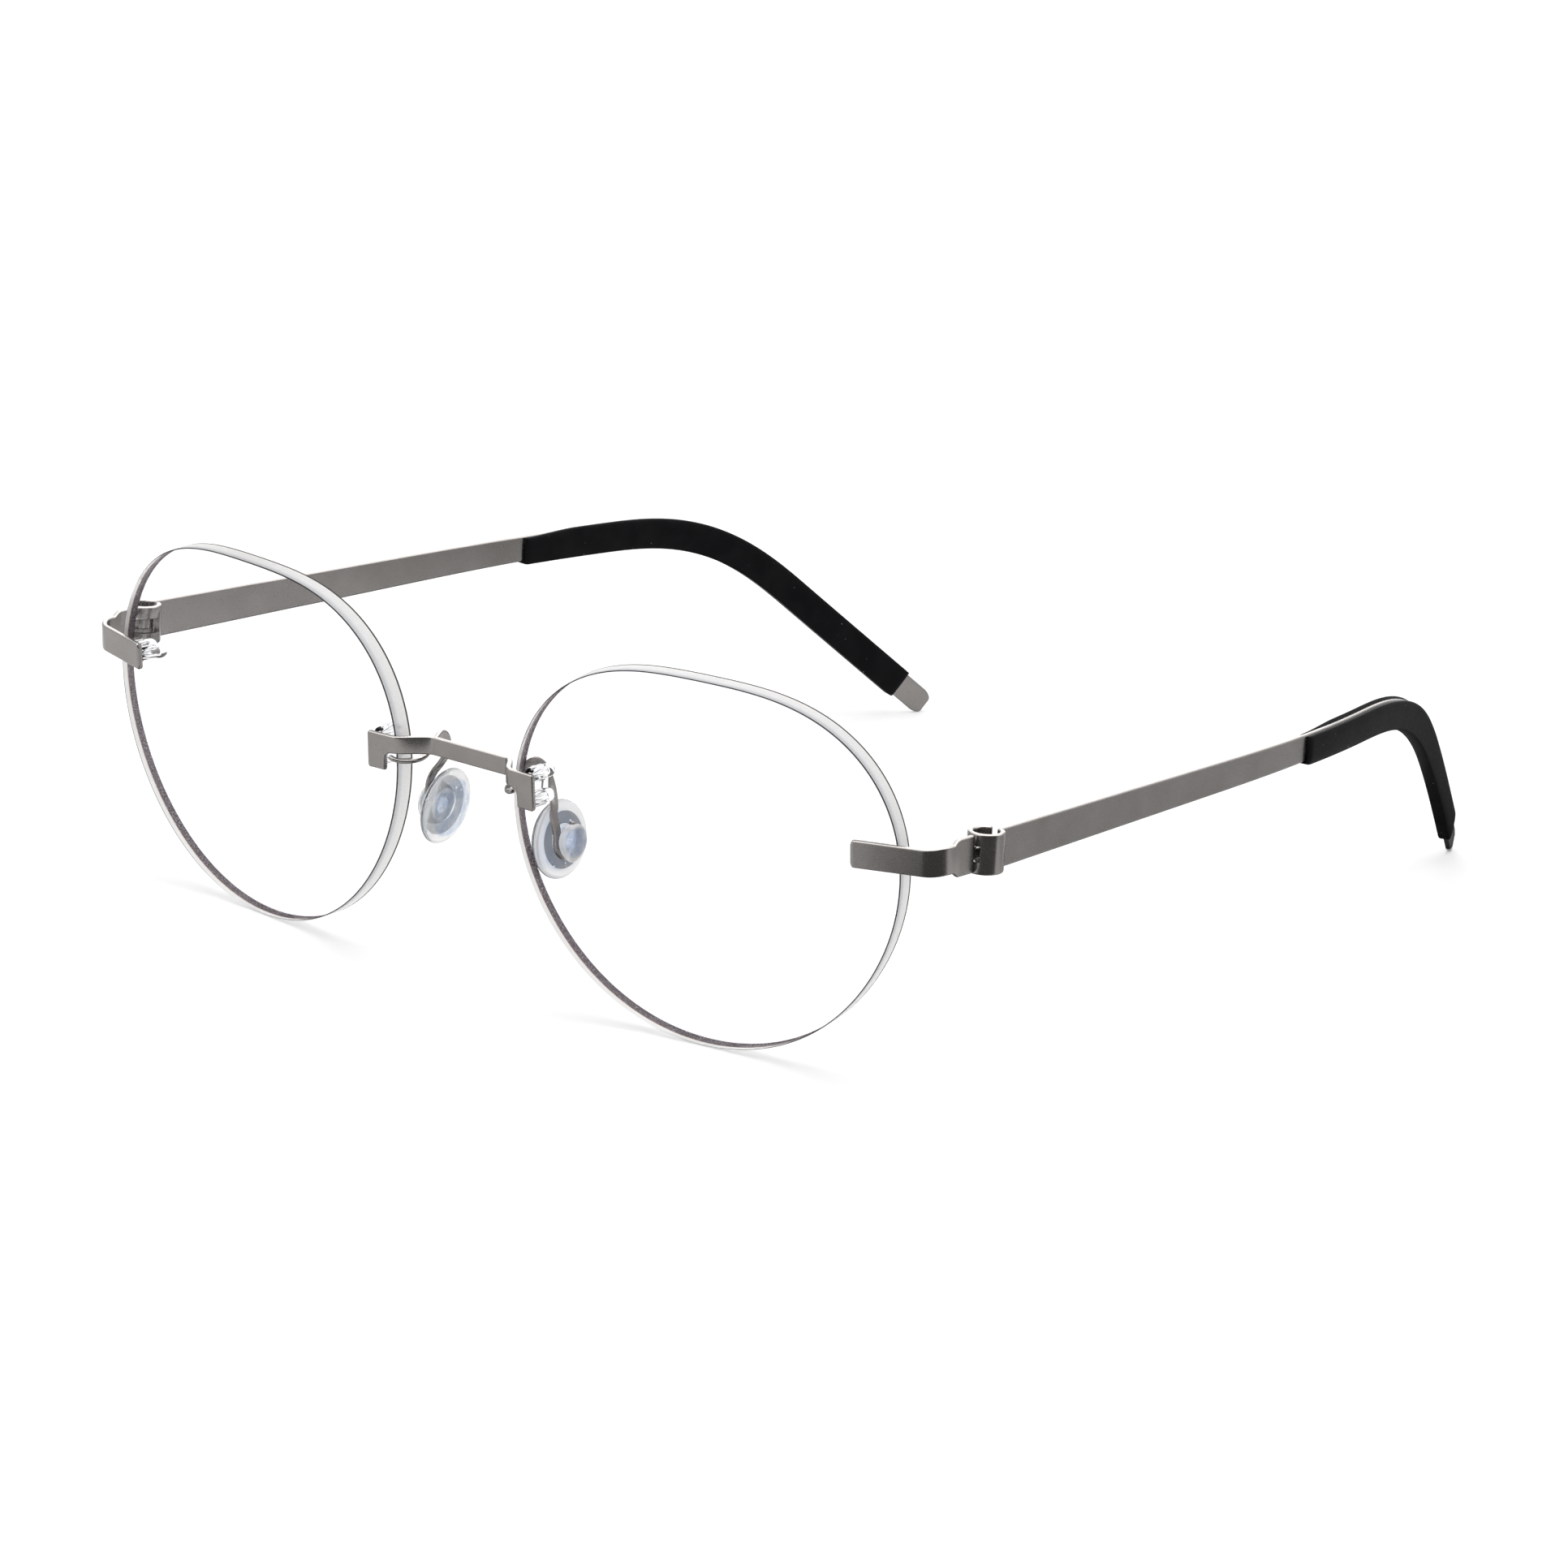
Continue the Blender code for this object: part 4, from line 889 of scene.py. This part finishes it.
def calculate(made, operation, *values):
    """A Math node's result; each value is a plain number or another node's output."""
    node = new_node(made, "Math")
    node.operation = operation
    for socket, value in zip(node.inputs, values):
        feed(made, socket, value)
    return node.outputs[0]


def grain(made, size, detail=2.0):
    """Noise on Object coordinates whose features are about size metres."""
    noise = new_node(made, "TexNoise")
    feed(made, noise.inputs["Scale"], 1 / size)
    feed(made, noise.inputs["Detail"], detail)
    feed(made, noise.inputs["Vector"], new_node(made, "TexCoord").outputs["Object"])
    return noise.outputs["Fac"]


def ramp(made, source, *stops):
    """Colours or grey levels along a source: each stop is a place and a colour."""
    node = new_node(made, "ValToRGB")
    elements = node.color_ramp.elements
    while len(elements) < len(stops):
        elements.new(1.0)
    for element, (position, colour) in zip(elements, stops):
        element.position = position
        level = (colour,) * 3 if isinstance(colour, (int, float)) else colour
        element.color = (*level, 1.0)
    feed(made, node.inputs["Fac"], source)
    return node.outputs["Color"]


def blend_colours(made, kind, amount, one, two):
    """Two colours mixed or multiplied, by an amount that may itself vary."""
    node = new_node(made, "Mix")
    node.data_type = "RGBA"
    node.blend_type = kind
    for socket, value in zip((node.inputs[0], node.inputs[6], node.inputs[7]), (amount, one, two)):
        feed(made, socket, value)
    return node.outputs[2]


def raise_surface(made, shader, source, depth, strength):
    """Bump from a source, its depth in metres."""
    node = new_node(made, "Bump")
    feed(made, node.inputs["Distance"], depth)
    feed(made, node.inputs["Strength"], strength)
    feed(made, node.inputs["Height"], source)
    vary(made, shader, Normal=node.outputs["Normal"])


def switch_shader(made, switch, at_zero, at_one, output):
    """Sends one shader to the output where the switch is 0, and the other where it is 1."""
    either = new_node(made, "MixShader")
    for socket, value in zip(either.inputs, (switch, at_zero.outputs[0], at_one.outputs[0])):
        feed(made, socket, value)
    feed(made, made.node_tree.nodes[output].inputs["Surface"], either.outputs[0])


def clear_for_light(made, shader):
    """Lets light and shadow through a clear piece, so that what lies in and under it is lit."""
    path = new_node(made, "LightPath")
    clear = new_node(made, "BsdfTransparent")
    feed(made, clear.inputs["Color"], (0.96, 0.96, 0.96))
    unseen = calculate(made, "MAXIMUM", path.outputs["Is Shadow Ray"], path.outputs["Is Diffuse Ray"])
    switch_shader(made, unseen, shader, clear, "Material Output")


def titanium():
    """Matt blasted sheet: a fine grain in colour, gloss and surface over a slow cloud of tone."""
    made, shader = principled("matt titanium", Metallic=0.94)
    fine = grain(made, size=0.00016, detail=3.0)
    cloud = ramp(made, grain(made, size=0.0045),
                 (0.3, (0.236, 0.222, 0.213)), (0.7, (0.268, 0.254, 0.246)))
    speckled = ramp(made, fine, (0.3, 0.93), (0.7, 1.0))
    vary(made, shader, Base_Color=blend_colours(made, "MULTIPLY", 1.0, cloud, speckled),
         Roughness=ramp(made, fine, (0.3, 0.28), (0.7, 0.24)))
    raise_surface(made, shader, grain(made, size=0.00010), depth=0.000003, strength=0.2)
    return made


def clear_lens():
    """Clear polished plastic whose coat leaves a faint violet reflection, a little uneven.

    The coat takes away most of the reflection, so the index is that of the coated surface.
    """
    made, shader = principled("clear lens", Roughness=0.0, Transmission_Weight=1.0, IOR=1.08,
                              Specular_Tint=(0.62, 0.45, 0.95, 1))
    vary(made, shader, Base_Color=ramp(made, grain(made, size=0.02), (0.35, (0.985, 0.975, 0.99)),
                                       (0.65, (0.995, 0.99, 1.0))))
    clear_for_light(made, shader)
    return made


def ground_edge():
    """The lens's ground edge: pale satin with painted light and shade. From outside it has painted dark
    lines by both faces, a painted highlight on the bevel, and painted shading from grey to white. Seen
    through the glass it has a painted bright, clear strip and a band of painted shade with a dark grain.

    The UV's second value is the share of the thickness, from the front face to the back one.
    """
    made, shader = principled("ground lens edge, painted light and shade", Roughness=0.5, IOR=1.08, Transmission_Weight=0.35)
    uv = new_node(made, "UVMap")
    uv.uv_map = "edge"
    split = new_node(made, "SeparateXYZ")
    feed(made, split.inputs["Vector"], uv.outputs["UV"])
    depth = split.outputs["Y"]
    coarse, fine = grain(made, size=0.00015), grain(made, size=0.00012)
    # From outside: painted dark lines by both faces, a painted highlight on the front bevel, and painted
    # shading from grey at the front to white at the back, times a real fine grain
    outside = ramp(made, depth, (0.0, 0.02), (0.045, 0.02), (0.055, 0.75), (0.08, (0.55, 0.56, 0.58)),
                   (0.35, (0.90, 0.90, 0.91)), (0.82, (1.0, 0.98, 0.95)), (0.85, 0.02))
    outside = blend_colours(made, "MULTIPLY", 1.0, outside, ramp(made, fine, (0.3, 0.88), (0.65, 1.0)))
    # Painted shade: the dark band with a grain, seen through the glass near the back face
    dark = ramp(made, coarse, (0.35, (0.045, 0.034, 0.038)), (0.52, (0.085, 0.067, 0.077)),
                (0.60, (0.20, 0.17, 0.19)), (0.70, (0.48, 0.44, 0.47)))
    # Seen through the glass: painted shade by the front face, a painted bright strip of light, a warm
    # fringe, then the painted dark band
    within = ramp(made, depth, (0.0, 0.03), (0.075, 0.03), (0.10, 1.0), (0.40, (1.0, 0.98, 0.95)),
                  (0.47, (0.66, 0.50, 0.42)))
    within = blend_colours(made, "MIX", ramp(made, depth, (0.47, 0.0), (0.50, 1.0)), within, dark)
    # The edge's back side, seen through the glass, takes the painted inside colours of light and shade
    side = new_node(made, "NewGeometry").outputs["Backfacing"]
    vary(made, shader, Base_Color=blend_colours(made, "MIX", side, outside, within))
    raise_surface(made, shader, fine, depth=0.00001, strength=0.4)
    return made


def clear_plastic():
    """Clear polished plastic, a little hazed in patches."""
    made, shader = principled("clear plastic", Base_Color=(0.97, 0.98, 0.99, 1), Transmission_Weight=1.0,
                              IOR=1.14)
    vary(made, shader, Roughness=ramp(made, grain(made, size=0.0008), (0.3, 0.02), (0.7, 0.10)))
    clear_for_light(made, shader)
    return made


def silicone():
    """Clear soft silicone: milky cool grey with a few small bubbles, a painted white highlight along the
    rim and a painted dark line at the outline, which stand in for light bent through the rim.

    The attribute "rim" rises to 1 at the pad's outline; a slow grain makes the painted rim highlight
    uneven.
    """
    made, shader = principled("clear silicone", Transmission_Weight=0.65, IOR=1.2)
    cloud = ramp(made, grain(made, size=0.0016, detail=3.0),
                 (0.38, (0.58, 0.67, 0.84)), (0.62, (0.84, 0.91, 1.0)))
    marked = new_node(made, "Attribute")
    marked.attribute_name = "rim"
    reach = marked.outputs["Fac"]
    uneven = calculate(made, "MULTIPLY_ADD", grain(made, size=0.0014), 0.16, reach)
    # Painted highlight: a white band near the outline, in place of the bright surroundings seen through
    # the rim
    rim = ramp(made, uneven, (0.80, 0.0), (0.88, 1.0))
    body = blend_colours(made, "MIX", rim, cloud, (1.0, 1.0, 1.0))
    # Painted shade: a dark line right at the pad's outline
    outline = ramp(made, reach, (0.988, 0.0), (0.998, 1.0))
    body = blend_colours(made, "MIX", outline, body, (0.16, 0.17, 0.19))
    bubbles = ramp(made, grain(made, size=0.0005, detail=1.0), (0.70, 0.0), (0.73, 1.0))
    vary(made, shader, Base_Color=blend_colours(made, "MIX", bubbles, body, (1.0, 1.0, 1.0)),
         Roughness=ramp(made, grain(made, size=0.0009), (0.3, 0.03), (0.7, 0.12)))
    raise_surface(made, shader, grain(made, size=0.0006), depth=0.00003, strength=0.3)
    clear_for_light(made, shader)
    return made


def rubber():
    """Black satin rubber: moulded grain, uneven gloss, and a little pale dust."""
    made, shader = principled("black rubber", IOR=1.12)
    fine = grain(made, size=0.00018, detail=3.0)
    dust = ramp(made, grain(made, size=0.00045, detail=4.0), (0.735, 0.0), (0.75, 1.0))
    black = ramp(made, grain(made, size=0.003), (0.3, (0.005, 0.005, 0.006)), (0.7, (0.009, 0.009, 0.010)))
    vary(made, shader, Base_Color=blend_colours(made, "MIX", dust, black, (0.30, 0.29, 0.28)),
         Roughness=ramp(made, fine, (0.3, 0.36), (0.7, 0.50)))
    raise_surface(made, shader, fine, depth=0.00001, strength=0.25)
    return made


# One finish for each material slot, and one for the lens's edge
FINISHES = {
    "titanium": titanium(),
    "lens": clear_lens(),
    "lens_edge": ground_edge(),
    "bush": clear_plastic(),
    "silicone": silicone(),
    "rubber": rubber(),
}


def seen_ray(made):
    """1 for what the camera, mirrors and glass see, 0 for what lights the object."""
    path = new_node(made, "LightPath")
    seen = calculate(made, "MAXIMUM", path.outputs["Is Camera Ray"], path.outputs["Is Glossy Ray"])
    return calculate(made, "MAXIMUM", seen, path.outputs["Is Transmission Ray"])


def make_card(name, corners, finish):
    """A flat stage piece from its corners."""
    mesh = bpy.data.meshes.new(name)
    mesh.from_pydata(corners, [], [tuple(range(len(corners)))])
    mesh.materials.append(finish)
    card = make_item(name, mesh)
    return card


def make_floor():
    """White paper; what is seen of it is lifted to pure white, the more the further out."""
    paper, shader = principled("white paper", Roughness=1.0, Specular_IOR_Level=0.0,
                               Emission_Color=(1, 1, 1, 1))
    away = new_node(paper, "VectorMath")
    away.operation = "LENGTH"
    feed(paper, away.inputs[0], new_node(paper, "TexCoord").outputs["Object"])
    lift = ramp(paper, away.outputs["Value"], (LIFT_START, FLOOR_LIFT), (LIFT_END, 1.0))
    vary(paper, shader, Base_Color=ramp(paper, grain(paper, size=0.002), (0.0, 0.895), (1.0, 0.905)),
         Emission_Strength=calculate(paper, "MULTIPLY", seen_ray(paper), lift))
    make_card("floor", [(x * FLOOR_REACH, y * FLOOR_REACH, -FLOOR_DROP)
                        for x, y in ((-1, -1), (1, -1), (1, 1), (-1, 1))], paper)


def make_cards():
    """Dark and grey cards that only reflections see: most lie on the floor, and one stands up."""
    papers = {tone: principled(f"card {tone}", Base_Color=(tone, tone, tone, 1), Roughness=0.9)[0]
              for tone in (BLACK, GREY)}
    for name, (tone, corners) in CARDS.items():
        card = make_card(name, [(*corner, CARD_LEVEL)[:3] for corner in corners], papers[tone])
        card.visible_camera = False
        card.visible_diffuse = False
        card.visible_transmission = False
        card.visible_shadow = False


def make_world():
    """White surroundings that light the glasses less brightly than they look."""
    world = bpy.data.worlds.new("studio")
    world.use_nodes = True
    white = world.node_tree.nodes["Background"]
    feed(world, white.inputs["Color"], (1.0, 1.0, 1.0))
    dim = new_node(world, "Background")
    feed(world, dim.inputs["Strength"], WORLD_LIGHT)
    switch_shader(world, seen_ray(world), dim, white, "World Output")
    bpy.context.scene.world = world


def make_lamp(name, spot, width, height, radiance):
    """A soft box that faces the glasses; power is radiance times pi times its area."""
    lamp = bpy.data.lights.new(name, "AREA")
    lamp.shape = "RECTANGLE"
    lamp.size, lamp.size_y = width, height
    lamp.energy = radiance * math.pi * width * height
    item = make_item(name, lamp)
    back = unit(spot)
    right = unit(np.cross(NEARLY_UP, back))
    item.matrix_world = matrix_of(right, np.cross(back, right), back, spot)
    item.visible_camera = False
    item.visible_transmission = False
    return item


def make_stage():
    """A white floor and surroundings, cards, soft boxes above and behind, and a bright tent top."""
    make_floor()
    make_cards()
    make_world()
    lamps = {name: make_lamp(name, *values) for name, values in LAMPS.items()}
    lamps["tent_top"].visible_diffuse = False


make_camera()
make_stage()
even_normals(make_bridge())
TEMPLE_PATH = TemplePath()
for WORD, SIDE in SIDES.items():
    make_lens(WORD, SIDE)
    make_bush(f"bridge_bush_{WORD}", TAB_FIXING, SIDE)
    make_bush(f"end_piece_bush_{WORD}", PLATE_FIXING, SIDE)
    even_normals(make_end_piece(WORD, SIDE))
    even_normals(make_temple(TEMPLE_PATH, WORD, SIDE))
    make_sleeve(TEMPLE_PATH, WORD, SIDE)
    even_normals(make_pad_arm(WORD, SIDE))
    make_pad(WORD, SIDE)

bpy.context.scene.view_settings.view_transform = "Standard"
